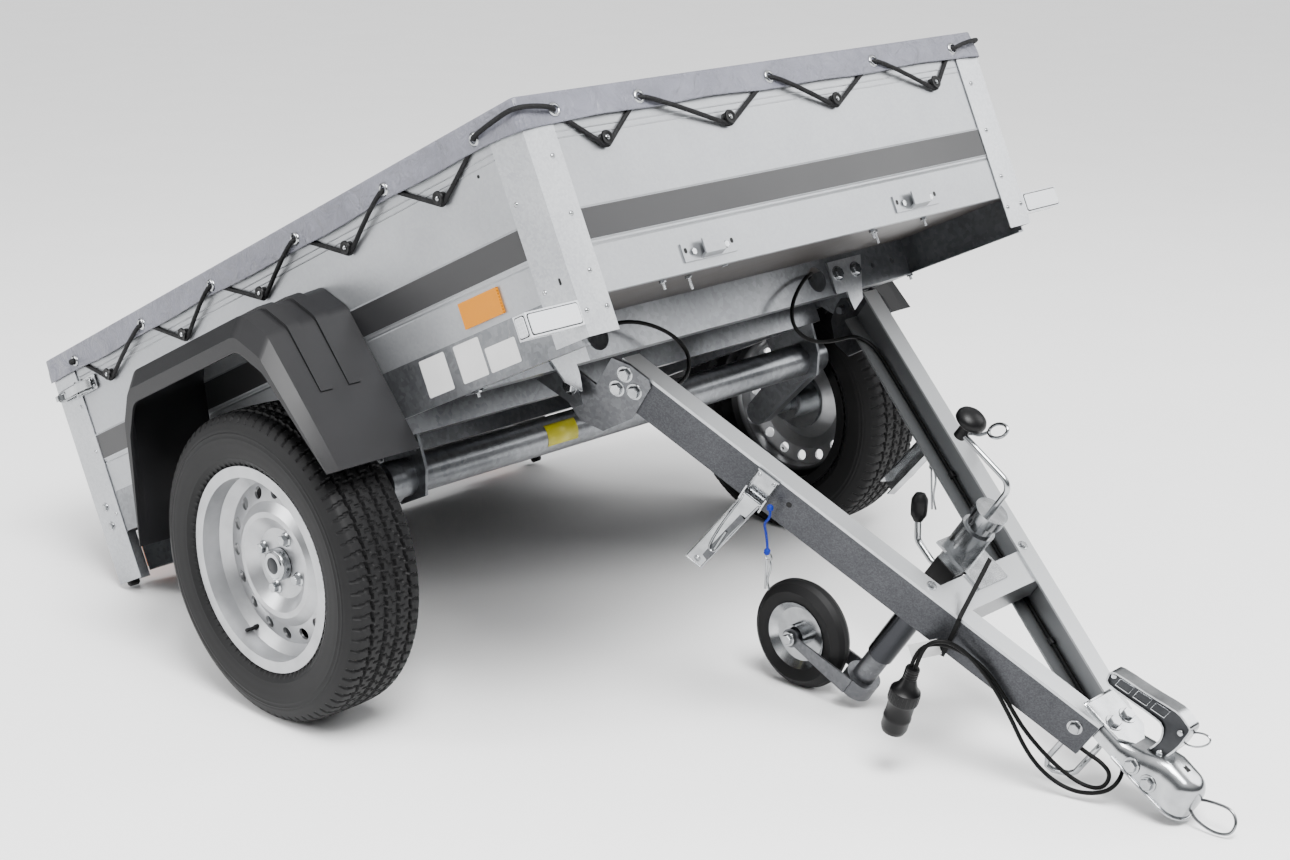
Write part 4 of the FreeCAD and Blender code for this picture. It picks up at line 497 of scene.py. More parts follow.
class TRAILER_OT_finishes(Operator):
    """Makes the finishes and gives each metal, plastic and rubber node its own"""
    bl_idname = "trailer.finishes"
    bl_label = "Finishes"

    def execute(self, context):
        looks = context.scene.trailer_looks
        MATERIALS.update({
            "panel": galvanised("zinc_sheet_wall", "#8f9194", "#9a9c9f", "#a5a7aa", 0.40, 5.0, 0.12,
                                banded=True),
            "post": galvanised("zinc_sheet_post", "#96989c", "#a6a8ab", "#b6b8ba", 0.34, 4.0, 0.2),
            # Painted shade: the chassis's zinc has darker greys than the walls', as the shade under the
            # box
            "member": galvanised("hot_dip_chassis_painted_shade", "#56585b", "#707275", "#8b8d90", 0.30, 8.0, 0.14),
            # The drawbar's zinc gets painted light: lighter between the webs, paler on the top flanges
            "arm": galvanised("hot_dip_drawbar_painted_light", "#333437", "#3f4043", "#4d4e51", 0.36, 2.0, 0.3,
                              painted_bar_light=True),
            "dull": galvanised("dull_zinc_plate", "#47484b", "#5c5d60", "#747679", 0.30, 6.0, 0.15),
            "core": plain_metal("dark_pressed_web", "#242527", "#3a3b3d", 0.30),
            # The jack tube has painted shade below the drawbar's arms
            "tube": plain_metal("jack_tube_plate", "#8b8d8f", "#b4b6b8", 0.16, shaded=True),
            "bright": plain_metal("bright_zinc_plate", "#8b8d8f", "#b4b6b8", 0.20),
            "wire": plain_metal("spring_steel_wire", "#6f7173", "#97999b", 0.22),
            # The rims have painted shade on their inner sides, within 0.655 m of the middle
            "rim": plain_metal("silver_wheel_paint", "#9c9d9f", "#aeafb1", 0.32, 0.75, 600.0, 0.655),
            "tyre": moulded("tyre_rubber", "#070708", "#0c0c0d", 0.62, 700.0, 0.00015, 0.24),
            "guard": moulded("moulded_guard", "#0e0e10", "#131315", 0.48, 850.0, 0.0002, 0.3),
            "plastic": moulded("black_nylon", "#020203", "#040405", 0.42, 900.0, 0.0001, 0.2),
            "cable": moulded("pvc_cable", "#020202", "#040404", 0.5, 900.0, 0.00005, 0.12),
            "blue": moulded("blue_nylon_cord", "#01145e", "#031f82", 0.6, 1200.0, 0.0003, 0.2),
            "ply": moulded("film_faced_plywood", "#231f1d", "#2e2926", 0.42, 300.0, 0.0002),
            "amber": lens("amber_acrylic", [(0.12, "#6e3a00"), (0.42, "#b87200")]),
            "clear": lens("clear_acrylic", [(0.1, "#b4b6b9"), (0.7, "#c9cbce")], 6.0),
            "red": lens("rear_lens_acrylic", [(0.0, "#c9cbce"), (0.22, "#8f0808"), (0.7, "#e87a00")],
                        across=True),
            "white_label": moulded("white_film_label", "#b9b9b9", "#c4c4c4", 0.35, 1200.0, 0.00003),
            "yellow_label": moulded("yellow_film_label", "#a89f14", "#b5ad1c", 0.4, 1200.0, 0.00003),
            "rope": braided("braided_shock_cord", "#050506", "#1b1b1d"),
            "cloth": coated_cloth("coated_cover_cloth", looks.cloth_dark, looks.cloth_light),
        })
        finishes = {start: finish for finish, starts in NODE_FINISHES.items() for start in starts}
        for name, node in NODES.items():
            start = max((key for key in finishes if name.startswith(key)), key=len)
            node.data.materials.clear()
            node.data.materials.append(MATERIALS[finishes[start]])
        return {"FINISHED"}


# Stage

class TRAILER_OT_stage(Operator):
    """Sets the pale floor, the soft lights and the camera at the photograph's angle"""
    bl_idname = "trailer.stage"
    bl_label = "Stage"

    def execute(self, context):
        half = 45.0
        floor = bpy.data.meshes.new("floor_plane")
        floor.from_pydata([(-half, -half, 0), (half, -half, 0), (half, half, 0), (-half, half, 0)], [],
                          [(0, 1, 2, 3)])
        material, tree, where = new_material("studio_floor_paint")
        noise = add(tree, "TexNoise", {"Vector": where, "Scale": 3.0})
        shade = add(tree, "ValToRGB", {"Fac": noise}, [(0.3, "#f0f0f0"), (0.7, "#f2f2f2")])
        floor.materials.append(surfaced(material, tree, {"Base Color": shade, "Roughness": 0.9,
                                                         "Specular IOR Level": 0.1}))
        self.linked(context, "studio_floor", floor)
        self.sky(context)
        sun = bpy.data.lights.new("sun", "SUN")
        sun.energy, sun.angle = 1.5, 0.5
        self.aim(self.linked(context, "sun_light", sun), (1.5, -1, 5), (0.28, -0.14, 1), Y)
        # Each lamp's place, what it points at, its size and its share of the key light's power
        for name, at, aim, size, share in (("key", (2.6, -1.6, 4.8), (0.2, -0.1, 0.5), 2.4, 1.0),
                                           ("front", (2.7, 3.5, 2.7), (0.3, 0, 0.8), 2.2, 0.16),
                                           ("side", (-3.0, -4.6, 2.4), (-0.4, 0, 0.5), 2.0, 0.3)):
            lamp = bpy.data.lights.new(name, "AREA")
            lamp.size, lamp.energy = size, context.scene.trailer_looks.key_power * share
            self.aim(self.linked(context, name + "_light", lamp), at, Vector(at) - Vector(aim), Z)
        view = bpy.data.cameras.new("photo_camera")
        view.sensor_width, view.lens, view.clip_end = 36.0, 58.013, 60
        view.shift_x, view.shift_y = 0.02527, 0.03217
        camera = self.linked(context, "photo_camera", view)
        self.aim(camera, (2.52482, -2.6653, 1.51812), (0.66945, -0.67533, 0.30945),
                 (-0.21065, 0.22688, 0.95087))
        context.scene.camera = camera
        return {"FINISHED"}

    def sky(self, context):
        """A studio's surroundings: white overhead, and a darker band round the horizon that gives the
        metal its contrast."""
        world = bpy.data.worlds.new("studio")
        context.scene.world = world
        world.use_nodes = True
        tree = world.node_tree
        tree.nodes.clear()
        way = add(tree, "TexCoord").outputs["Generated"]
        up = add(tree, "SeparateXYZ", {"Vector": way}).outputs["Z"]
        spread = add(tree, "MapRange", {"Value": up, "From Min": -0.2, "From Max": 0.9})
        shade = add(tree, "ValToRGB", {"Fac": spread}, [
            (0.0, "#c8c8c8"), (0.16, "#c8c8c8"), (0.24, "#3c3d3f"), (0.5, "#7e8082"), (0.8, "#ffffff")])
        shine = add(tree, "Background", {"Color": shade, "Strength": 1.3})
        add(tree, "OutputWorld", {"Surface": shine})

    def linked(self, context, name, data):
        """An object of the scene for a mesh, a light or a camera."""
        made = bpy.data.objects.new(name, data)
        context.scene.collection.objects.link(made)
        return made

    def aim(self, thing, at, away, up):
        """Points a camera's or a lamp's back along a direction, with its top towards up."""
        back = Vector(away).normalized()
        right = Vector(up).cross(back).normalized()
        turn = Matrix((right, back.cross(right), back)).transposed().to_4x4()
        turn.translation = Vector(at)
        thing.matrix_world = turn


# Lighting cable

CABLE_RAD = 0.0035
# The cable's points, in mm, as in the part's source: down from the cross-member's hole into an arm's
# channel in the box's frame, then along the drawbar and back to the plug in the drawbar's frame
LOOP_ROUTE = [(-330, 300, 30), (-290, 284, 34), (-262, 246, 36), (-252, 196, 18), (-248, 152, -14),
              (-246, 136, -52), (-242, 160, -84), (-234.7, 206, -97.5), (-234.7, 250, -97.5)]
CHANNEL_ROUTE = [(81, 250.3, 28), (81, 272, 28), (98, 290, 29), (124, 296, 28.8), (170, 283.9, 28.8),
                 (950, 37, 28.8)]
FAR_ROUTE = CHANNEL_ROUTE + [
    (985, 18, 34), (1016, -14, 46), (1026, -40, 22), (1006, -46, -12), (976, -54, -33),
    (936, -66, -37), (893, -79, -23), (842, -95, 12), (794, -110, 40), (749, -127, 58),
    (720, -139, 62), (700, -158, 64), (688, -174, 50), (692, -181, 26), (700, -181, 1.3)]
NEAR_ROUTE = [(x, -y, z) for x, y, z in CHANNEL_ROUTE] + [
    (982, -35, 40), (1008, -32, 36), (1014, -35, 6), (990, -43, -12), (950, -54, -16),
    (906, -66, -10), (862, -80, 4), (818, -93, 28), (768, -109, 50), (722, -128, 52),
    (694, -156, 50), (681.6, -181, 31.1), (692, -181, -1.3)]
PLUG_AT, PLUG_AXIS = np.array((696.0, -181.0, 0.0)), np.array([0.3055, 0, -0.9522])


def cable(name, points, rad, finish, body):
    """A round cable as one smooth curve over its own few points."""
    line = bpy.data.curves.new(name, "CURVE")
    line.dimensions = "3D"
    line.bevel_depth, line.bevel_resolution, line.use_fill_caps = rad, 4, True
    spline = line.splines.new("NURBS")
    spline.points.add(len(points) - 1)
    spline.points.foreach_set("co", np.column_stack([points, np.ones(len(points))]).ravel())
    spline.order_u, spline.use_endpoint_u, spline.resolution_u = 3, True, 8
    made = bpy.data.objects.new(name, line)
    bpy.context.scene.collection.objects.link(made)
    line.materials.append(MATERIALS[finish])
    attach(made, body)
    return made


class TRAILER_OT_cables(Operator):
    """Lays the lighting cable from the chassis along both arms to the hanging plug"""
    bl_idname = "trailer.cables"
    bl_label = "Lighting cable"

    def execute(self, context):
        plug = self.plug()
        for side, word in ((1, "left"), (-1, "right")):
            route = boxed([(x, side * y, z) for x, y, z in LOOP_ROUTE])
            loop = cable("cable_loop_" + word, route, CABLE_RAD, "cable", "bed")
            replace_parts(loop, "light_cable_loops")
        for name, line, length in (("left", FAR_ROUTE, 1.5226), ("right", NEAR_ROUTE, 1.4475)):
            route = barred(line)
            run = cable("cable_" + name, route, CABLE_RAD, "cable", "drawbar")
            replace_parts(run, "light_cables")
        return {"FINISHED"}

    def plug(self):
        """A moulded plug: a ringed boot, a wide collar with a ribbed grip, and a body with a bead."""
        at = PLUG_AT + PLUG_AXIS * 0.3
        rings = [(11.2 + 0.9 * (n % 2), 1 + n * 2.4) for n in range(10)]
        line = [(8, 0), (11, 0.3)] + rings + [
            (14.6, 30), (19.5, 40), (24.6, 44), (25, 46), (25, 64), (24.4, 66), (22, 70), (22, 92),
            (23, 94), (23, 99), (22, 101), (22, 116), (20, 122), (18.6, 125), (0.1, 125)]
        shapes = [turned(line, at, PLUG_AXIS, 40)]
        u = np.array([0.0, 1, 0])
        v = np.cross(PLUG_AXIS, u)
        for turn in np.linspace(0, 2 * np.pi, 24, endpoint=False):
            foot = at + (u * math.cos(turn) + v * math.sin(turn)) * 24.4 + PLUG_AXIS * 46
            shapes.append(rod([foot, foot + PLUG_AXIS * 18], 1.1, 6))
        made = piece("light_plug", shapes, "plastic", "drawbar")
        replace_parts(made, "light_cables")
        return made


# Cover

# Heights over the box's floor line of the cover's top, the knobs and the eyelets, and their places
# along the sides and the ends
COVER_TOP, KNOB_Z = 371.3, 287.0
EYE_SIDE_Z, EYE_FRONT_Z, EYE_REAR_Z = 342.0, 343.0, 334.0
EYES_SIDE = (-103.0, -347.0, -615.0, -899.0, -1162.0, -1440.0)
EYES_FRONT = (-503.0, -320.0, -9.0, 270.0, 503.0)
EYES_REAR = (-470.0, -280.0, 0.0, 280.0, 470.0)
KNOBS_SIDE = (-221.0, -484.0, -756.0, -1032.0, -1330.0)
KNOBS_END = (-419.0, -137.0, 137.0, 419.0)
# Radii of the cloth's edge and of its corners seen from above, and its gap to the walls
EDGE, CORNER, GAP = 4.0, 9.0, 2.4


def cover_points():
    """The cover as one grid: along the rim from the rear right corner, round the front, to the rear
    left corner, and across from the middle line of the top, over the edge's round, down to the hem."""
    out, rear = HALF + GAP, -LONG - 4
    along, round_corner, across = 220, 7, 170
    side = np.linspace(rear, -CORNER, along)
    corner = np.linspace(0, np.pi / 2, round_corner + 2)[1:-1]
    front = np.linspace(-out + CORNER, out - CORNER, across)
    x = np.concatenate([side, -CORNER + (CORNER + GAP) * np.sin(corner), np.full(across, GAP),
                        -CORNER + (CORNER + GAP) * np.cos(corner), side[::-1]])
    y = np.concatenate([np.full(along, -out), -out + CORNER - CORNER * np.cos(corner), front,
                        out - CORNER + CORNER * np.sin(corner), np.full(along, out)])
    still, full = np.zeros(along), np.ones(along)
    nx = np.concatenate([still, np.sin(corner), np.ones(across), np.cos(corner), still])
    ny = np.concatenate([-full, -np.cos(corner), np.zeros(across), np.sin(corner), full])
    run = np.concatenate([[0], np.cumsum(np.hypot(np.diff(x), np.diff(y)))])
    spine_x = np.clip(x, rear, -HALF)
    rows = []
    # The top sags in the middle and wrinkles softly; near the rim it is pulled into short creases
    for share in np.linspace(0, 1, 26)[:-1]:
        px = spine_x + (x - nx * EDGE - spine_x) * share
        py = (y - ny * EDGE) * share
        sag = -4.0 * (1 - share**4)
        wrinkle = 1.3 * np.sin(px / 47.0 + py / 90.0) * np.sin(py / 70.0 - px / 160.0) * (1 - share**6)
        pull = 0.9 * share**5 * np.sin(run / 19.0) * np.sin(run / 47.0)
        rows.append(np.stack([px, py, COVER_TOP + sag + wrinkle + pull * (1 - share) * 5], -1))
    top_rows = len(rows)
    for turn in np.linspace(0, np.pi / 2, 6):
        reach, z = -EDGE + EDGE * np.sin(turn), COVER_TOP - EDGE + EDGE * np.cos(turn)
        rows.append(np.stack([x + nx * reach, y + ny * reach, z + 0 * x], -1))
    # The skirt hangs out a little towards its hem, which is doubled, gathers at the corners and is
    # drawn in at each eyelet; the hem's height is a product of two slow waves
    near_corner = sum(np.exp(-((run - at) / 30.0) ** 2) for at in (LONG, run[-1] - LONG))
    foot = COVER_TOP - 47.5 + 2.6 * np.sin(run / 61.0 + 0.8) * np.sin(run / 143.0) - 3.0 * near_corner
    eyes = [LONG + x_at for x_at in EYES_SIDE] + [run[-1] - LONG - x_at for x_at in EYES_SIDE]
    eyes += [LONG + HALF + y_at for y_at in EYES_FRONT]
    tucks = sum(np.exp(-((run - at) / 16.0) ** 2) for at in eyes)
    for share in np.linspace(0, 1, 17)[1:]:
        z = COVER_TOP - EDGE + (foot - COVER_TOP + EDGE) * share
        hem = 0.6 / (1 + np.exp(-(share - 0.52) * 60))
        waves = 1.1 * share * np.sin(run / 38.0) + 0.8 * share * np.sin(run / 13.0 + 2 * share)
        gather = 2.4 * near_corner * share * np.sin(np.pi * share * 0.8)
        flare = 1.9 * share + waves + gather - 0.9 * tucks * share + hem
        rows.append(np.stack([x + nx * flare, y + ny * flare, z], -1))
    grid = np.array(rows)
    # Laid out flat, the skirt unfolds outwards from the edge by as much as it hangs down
    drop = np.maximum(0, COVER_TOP - EDGE - grid[..., 2]) * (np.arange(len(grid)) >= top_rows)[:, None]
    uv = np.stack([grid[..., 0] + nx * drop, grid[..., 1] + ny * drop], -1) / 1000
    return grid, uv


def rear_flap_points():
    """The skirt over the tailgate: a strip with slow waves that grow towards its hem."""
    y, share = np.meshgrid(np.linspace(-508, 508, 180), np.linspace(0, 1, 14))
    x = -LONG - 0.8 - share * (1.0 + 0.5 * np.sin(y / 41.0))
    z = 361.8 - share * (48.5 + 0.9 * np.sin(y / 70.0))
    return np.stack([x, y, z], -1), np.stack([y / 1000, share * 0.05], -1)


def eyelet(at, way, rad):
    """A pressed and plated ring: a domed flange turned about its hole, closed on itself."""
    line = [(0.56, 0), (0.56, 0.16), (0.66, 0.24), (0.82, 0.22), (0.96, 0.1), (1.0, 0.0), (0.9, -0.06),
            (0.6, -0.06)]
    points, faces = turned([(rad * r, rad * h) for r, h in line + line[:1]], at, way, 24)
    return points, faces[:-2]


class TRAILER_OT_cover(Operator):
    """Stretches the cloth over the box, with its skirt, hem and eyelets"""
    bl_idname = "trailer.cover"
    bl_label = "Soft cover"

    def execute(self, context):
        sides = [((x, side * (HALF + 4.0), EYE_SIDE_Z), (0, side, 0))
                 for x in EYES_SIDE for side in (-1, 1)]
        front = [((4.0, y, EYE_FRONT_Z), X) for y in EYES_FRONT]
        rings = self.eyelets("cover_eyelets", sides + front, "bed")
        self.cloth("cover_cloth", cover_points(), "bed", "cover", flat=(1.25, 1.62), held="stretched",
                   rests_on=["front_panel", "side_panel_right"], with_pieces=[rings])
        rear = [((-LONG - 3.6, y, EYE_REAR_Z), (-1, 0, 0)) for y in EYES_REAR]
        rings = self.eyelets("rear_flap_eyelets", rear, "tailgate")
        self.cloth("rear_flap_cloth", rear_flap_points(), "tailgate", "cover_rear_flap",
                   flat=(1.018, 0.05), held="stretched", rests_on=["tailgate"], with_pieces=[rings])
        return {"FINISHED"}

    def eyelets(self, name, places, body):
        """Eyelets at places in the cloth, each facing its own way."""
        rad = bpy.context.scene.trailer_looks.eyelet_rad * 1000
        return piece(name, [eyelet(at, way, rad) for at, way in places], "bright", body)

    def cloth(self, name, laid, body, node, **facts):
        """A cloth of 0.9 mm over a grid of points, which stands for the plain solid."""
        grid, uv = laid
        made = piece(name, [(grid, grid_faces(*grid.shape[:2]))], "cloth", body, closed=False, uv=uv,
                     sharp=60)
        reworked(made.data, lambda sheet: bmesh.ops.remove_doubles(sheet, verts=sheet.verts, dist=1e-5))
        walled(made, 0.0009, 1.0)
        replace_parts(made, node)


# Lacing

class TRAILER_OT_lacing(Operator):
    """Laces the rope from eyelet to knob round the box, and sets the knobs"""
    bl_idname = "trailer.lacing"
    bl_label = "Lacing"

    def execute(self, context):
        rad = context.scene.trailer_looks.rope_rad * 1000
        near, far = self.side_line(-1), self.side_line(1)
        line = np.concatenate([near[::-1], self.corner(-1), self.front_line(), self.corner(1)[::-1],
                               far])
        knot = [(0.1, -6), (4, -5.2), (6.4, -1.5), (6.4, 2), (4, 5.4), (0.1, 6)]
        knots = [turned(knot, line[end], (0, side, 0.3), 16) for end, side in ((0, -1), (-1, 1))]
        piece("cover_lacing", [rod(line, rad, 8)] + knots, "rope", "bed")
        spots = [((x, side * (HALF - 3), KNOB_Z), (0, side, 0)) for x in KNOBS_SIDE for side in (-1, 1)]
        spots += [((-3, y, KNOB_Z), X) for y in KNOBS_END]
        self.knobs("lashing_knobs", "lashing_knob_rivets", spots, "bed")
        rear = np.concatenate([
            self.lace((-start, EYE_REAR_Z), (-knob, KNOB_Z), (-end, EYE_REAR_Z), True)
            for start, knob, end in zip(EYES_REAR, KNOBS_END, EYES_REAR[1:])])
        line = np.stack([-LONG + 2.6 - rear[:, 2], -rear[:, 0], rear[:, 1]], -1)
        piece("tailgate_lacing", [rod(line, rad, 8)], "rope", "tailgate")
        self.knobs("tailgate_knobs", "tailgate_knob_rivets",
                   [((-LONG + 1, y, KNOB_Z), (-1, 0, 0)) for y in KNOBS_END], "tailgate")
        return {"FINISHED"}

    def lace(self, start, knob, end, outside):
        """One lace, as (along, height, out from the wall): straight from an eyelet to the circle round
        the knob's waist, along its underside, and straight up behind the hem to the next eyelet."""
        start, knob, end = (np.asarray(p, float) for p in (start, knob, end))
        waist = 10.6

        def touch(eye, turn):
            way = eye - knob
            return math.atan2(way[1], way[0]) + turn * math.acos(waist / np.linalg.norm(way))

        turns = np.linspace(touch(start, -1), touch(end, 1) - 2 * math.pi, 10)
        arc = knob + waist * np.stack([np.cos(turns), np.sin(turns)], -1)
        down = start + (arc[0] - start) * np.array([[0], [0.05], [0.14], [0.34], [0.62], [0.9]])
        up = arc[-1] + (end - arc[-1]) * np.array([[0.1], [0.4], [0.75], [0.94]])
        lift = [1.0, 7.8, 9.6, 9.8, 7.5, 3.6] if outside else [-0.8, -0.8, -0.8, -0.2, 1.2, 2.8]
        out = np.concatenate([lift, np.full(10, 2.8), [2.2, 0.2, -0.8, -0.6]])
        return np.column_stack([np.concatenate([down, arc, up]), out])

    def laces(self, eyes, knobs, height):
        """The laces along one wall; the first of them lies wholly behind the hem."""
        return [self.lace((start, height), (knob, KNOB_Z), (end, height), n > 0)
                for n, (start, knob, end) in enumerate(zip(eyes, knobs, eyes[1:]))]

    def side_line(self, side):
        """The laces along one side, from the front eyelet back."""
        tail = np.array([(EYES_SIDE[-1], EYE_SIDE_Z, 4.0), (EYES_SIDE[-1], EYE_SIDE_Z - 1, 10.5)])
        laces = self.laces(EYES_SIDE, KNOBS_SIDE, EYE_SIDE_Z) + [tail]
        along, height, out = np.concatenate(laces).T
        return np.stack([along, side * (HALF + out), height], -1)

    def front_line(self):
        """The laces across the front, from the near corner to the far one."""
        laces = self.laces([-y for y in EYES_FRONT], [-y for y in KNOBS_END], EYE_FRONT_Z)
        along, height, out = np.concatenate(laces).T
        return np.stack([out, -along, height], -1)

    def corner(self, side):
        """The outside stretch from a side's first eyelet round the corner to the front's outer one."""
        end = [(10.5, 512, 344.5), (5, 503, 343)] if side > 0 else [(9.5, 512, 344.5), (3, 503, 343)]
        line = [(-103, HALF + 2, 342), (-99, HALF + 8.5, 343), (-82, HALF + 10.5, 346),
                (-40, HALF + 11.5, 350), (-8, HALF + 11.5, 352), (8, HALF + 3, 352),
                (12, HALF - 18, 351), (11.5, HALF - 45, 348)] + end
        return smooth_path([(x, side * y, z) for x, y, z in line], 4)

    def knobs(self, name, rivet_name, spots, body):
        """Moulded buttons with a waist for the rope and a dished face, and their rivets."""
        button = [(9.5, 0), (9.5, 2.2), (6.5, 3.6), (6.4, 8), (11, 9.3), (12, 11), (11.2, 13.4),
                  (8, 13.6), (6.4, 12.8), (0.1, 12.8)]
        head = [(4.2, 12.6), (4.2, 13.8), (2.6, 14.8), (0.1, 15)]
        piece(name, [turned(button, at, way, 24) for at, way in spots], "plastic", body)
        piece(rivet_name, [turned(head, at, way, 16) for at, way in spots], "bright", body)


# Wheels

TREAD_COLUMNS = 720
# The tyre's outline from a bead to the middle of the tread, as (radius, distance from its middle plane)
TYRE_HALF = [(166.5, -61.5), (182, -62), (189, -69.5), (200, -75.5), (222, -78.4), (238, -77),
             (250, -73.6), (258.5, -69.5), (264.5, -65), (268.8, -60.5), (270.9, -55), (272.2, -45),
             (273.2, -25), (273.4, 0)]
# The jockey wheel: its tube's place along the drawbar, how far its axle trails, and its radius
JOCKEY_X, JOCKEY_TRAIL, JOCKEY_RAD = 582.0, 137.0, 100.0


def road_tyre(pitches, columns):
    """A road tyre as a grid round its axle and across its section. The section runs from bead to bead
    on a smooth line; the tread is lowered where any of its cuts passes: four rain grooves whose edges
    step like a zigzag, blade cuts across the ribs, and slots over each shoulder. Each wall has raised
    rings and a shallow hollow."""
    half = np.array(TYRE_HALF)
    fine = smooth_path(np.concatenate([half, (half * (1, -1))[-2::-1]]), 24)
    length = np.concatenate([[0], np.cumsum(np.linalg.norm(np.diff(fine, axis=0), axis=1))])
    inner = slice(len(fine) // 8, -len(fine) // 8)
    at_edge = np.interp(np.linspace(-70, 70, 61), fine[inner, 1], length[inner])
    wall = np.linspace(0, at_edge[0], 37)[:-1]
    places = np.concatenate([wall, at_edge, length[-1] - wall[::-1]])
    r, w = np.interp(places, length, fine[:, 0]), np.interp(places, length, fine[:, 1])
    turn = np.linspace(0, 2 * np.pi, columns, endpoint=False)
    phase = turn[None, :] * pitches / (2 * np.pi)
    w, r = w[:, None] + 0 * phase, r[:, None] + 0 * phase
    step = 1.1 * np.sign(np.sin(2 * np.pi * phase))
    deep = np.zeros_like(r)
    for middle, wide in ((-39, 2.4), (-13, 2.8), (13, 2.8), (39, 2.4)):
        deep = np.maximum(deep, 6.0 * (np.abs(w - middle - step) < wide))
    blade = np.abs((phase + 0.25 * np.sign(np.sin(w / 4.2))) % 1 - 0.5) < 0.09
    deep = np.maximum(deep, 3.2 * (blade & (np.abs(w) < 37)))
    slot = np.abs((phase + 0.012 * np.abs(w)) % 1 - 0.5) < 0.13
    deep = np.maximum(deep, 3.4 * (slot & (np.abs(w) > 43) & (np.abs(w) < 69)))
    rings = sum(1.1 * np.exp(-((r - at) / 1.4) ** 2) for at in (196.0, 231.0, 240.0, 246.0))
    rings = (rings - 0.5 * np.exp(-((r - 214) / 9.0) ** 2)) * (np.abs(w) > 68)
    out = r - deep
    points = np.stack([out * np.cos(turn), np.sign(w) * (np.abs(w) + rings), out * np.sin(turn)], -1)
    return points, grid_faces(len(points), columns, wrap_rows=True, wrap_columns=True)


class TRAILER_OT_wheels(Operator):
    """Cuts the tread into the tyres and fits the wheel bolts, caps and valves"""
    bl_idname = "trailer.wheels"
    bl_label = "Wheels"

    def execute(self, context):
        points, faces = road_tyre(context.scene.trailer_looks.tread_pitches, TREAD_COLUMNS)
        cap = [(28.6, 20), (28.6, 30), (26.6, 33.4), (20, 36.2), (16, 36.4), (15.4, 35.4), (0.1, 36)]
        face = [(15.2, 36.05), (15.2, 36.6), (14.2, 37.2), (0.1, 37.2)]
        valve = [(5.2, -4), (5, 2), (3.4, 6), (3.4, 20), (2.6, 22), (0.1, 22)]
        circle, seat = 50, 17.3
        for side, word in ((-1, "right"), (1, "left")):
            centre, out = np.array(WHEEL) * (1, side, 1), np.array([0.0, side, 0])
            body = "wheel_" + word
            made = piece("tyre_tread_" + word, [(points + centre, faces)], "tyre", body, sharp=28)
            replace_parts(made, "tyre_" + word)
            bolts = []
            for turn in (2 * math.pi * (n + 0.5) / 4 for n in range(4)):
                at = centre + (circle * math.cos(turn), side * seat, circle * math.sin(turn))
                bolts += [turned([(9.6, 0), (9.6, 9.6), (8.6, 11.4), (0.1, 11.4)], at, out, 6),
                          turned([(13, -0.2), (12.6, 1.2), (9.8, 3.2)], at, out, 20)]
            piece("wheel_bolts_" + word, bolts, "bright", body)
            piece("hub_cap_" + word, [turned(cap, centre, out, 40)], "bright", body)
            piece("hub_cap_face_" + word, [turned(face, centre, out, 32)], "core", body)
            stem = turned(valve, centre + (-126, side * 26, -92), out, 14)
            piece("tyre_valve_" + word, [stem], "plastic", body)
        x = JOCKEY_X - JOCKEY_TRAIL
        z = (JOCKEY_RAD - PIN[2] + x * math.sin(SLOPE)) / math.cos(SLOPE)
        right, left = (bolt((x, side * 39.4, z), (0, side, 0), 8.6, 7.0) for side in (-1, 1))
        piece("jockey_axle_nuts", right + left, "bright", "jockey_caster")
        return {"FINISHED"}


# Box fittings

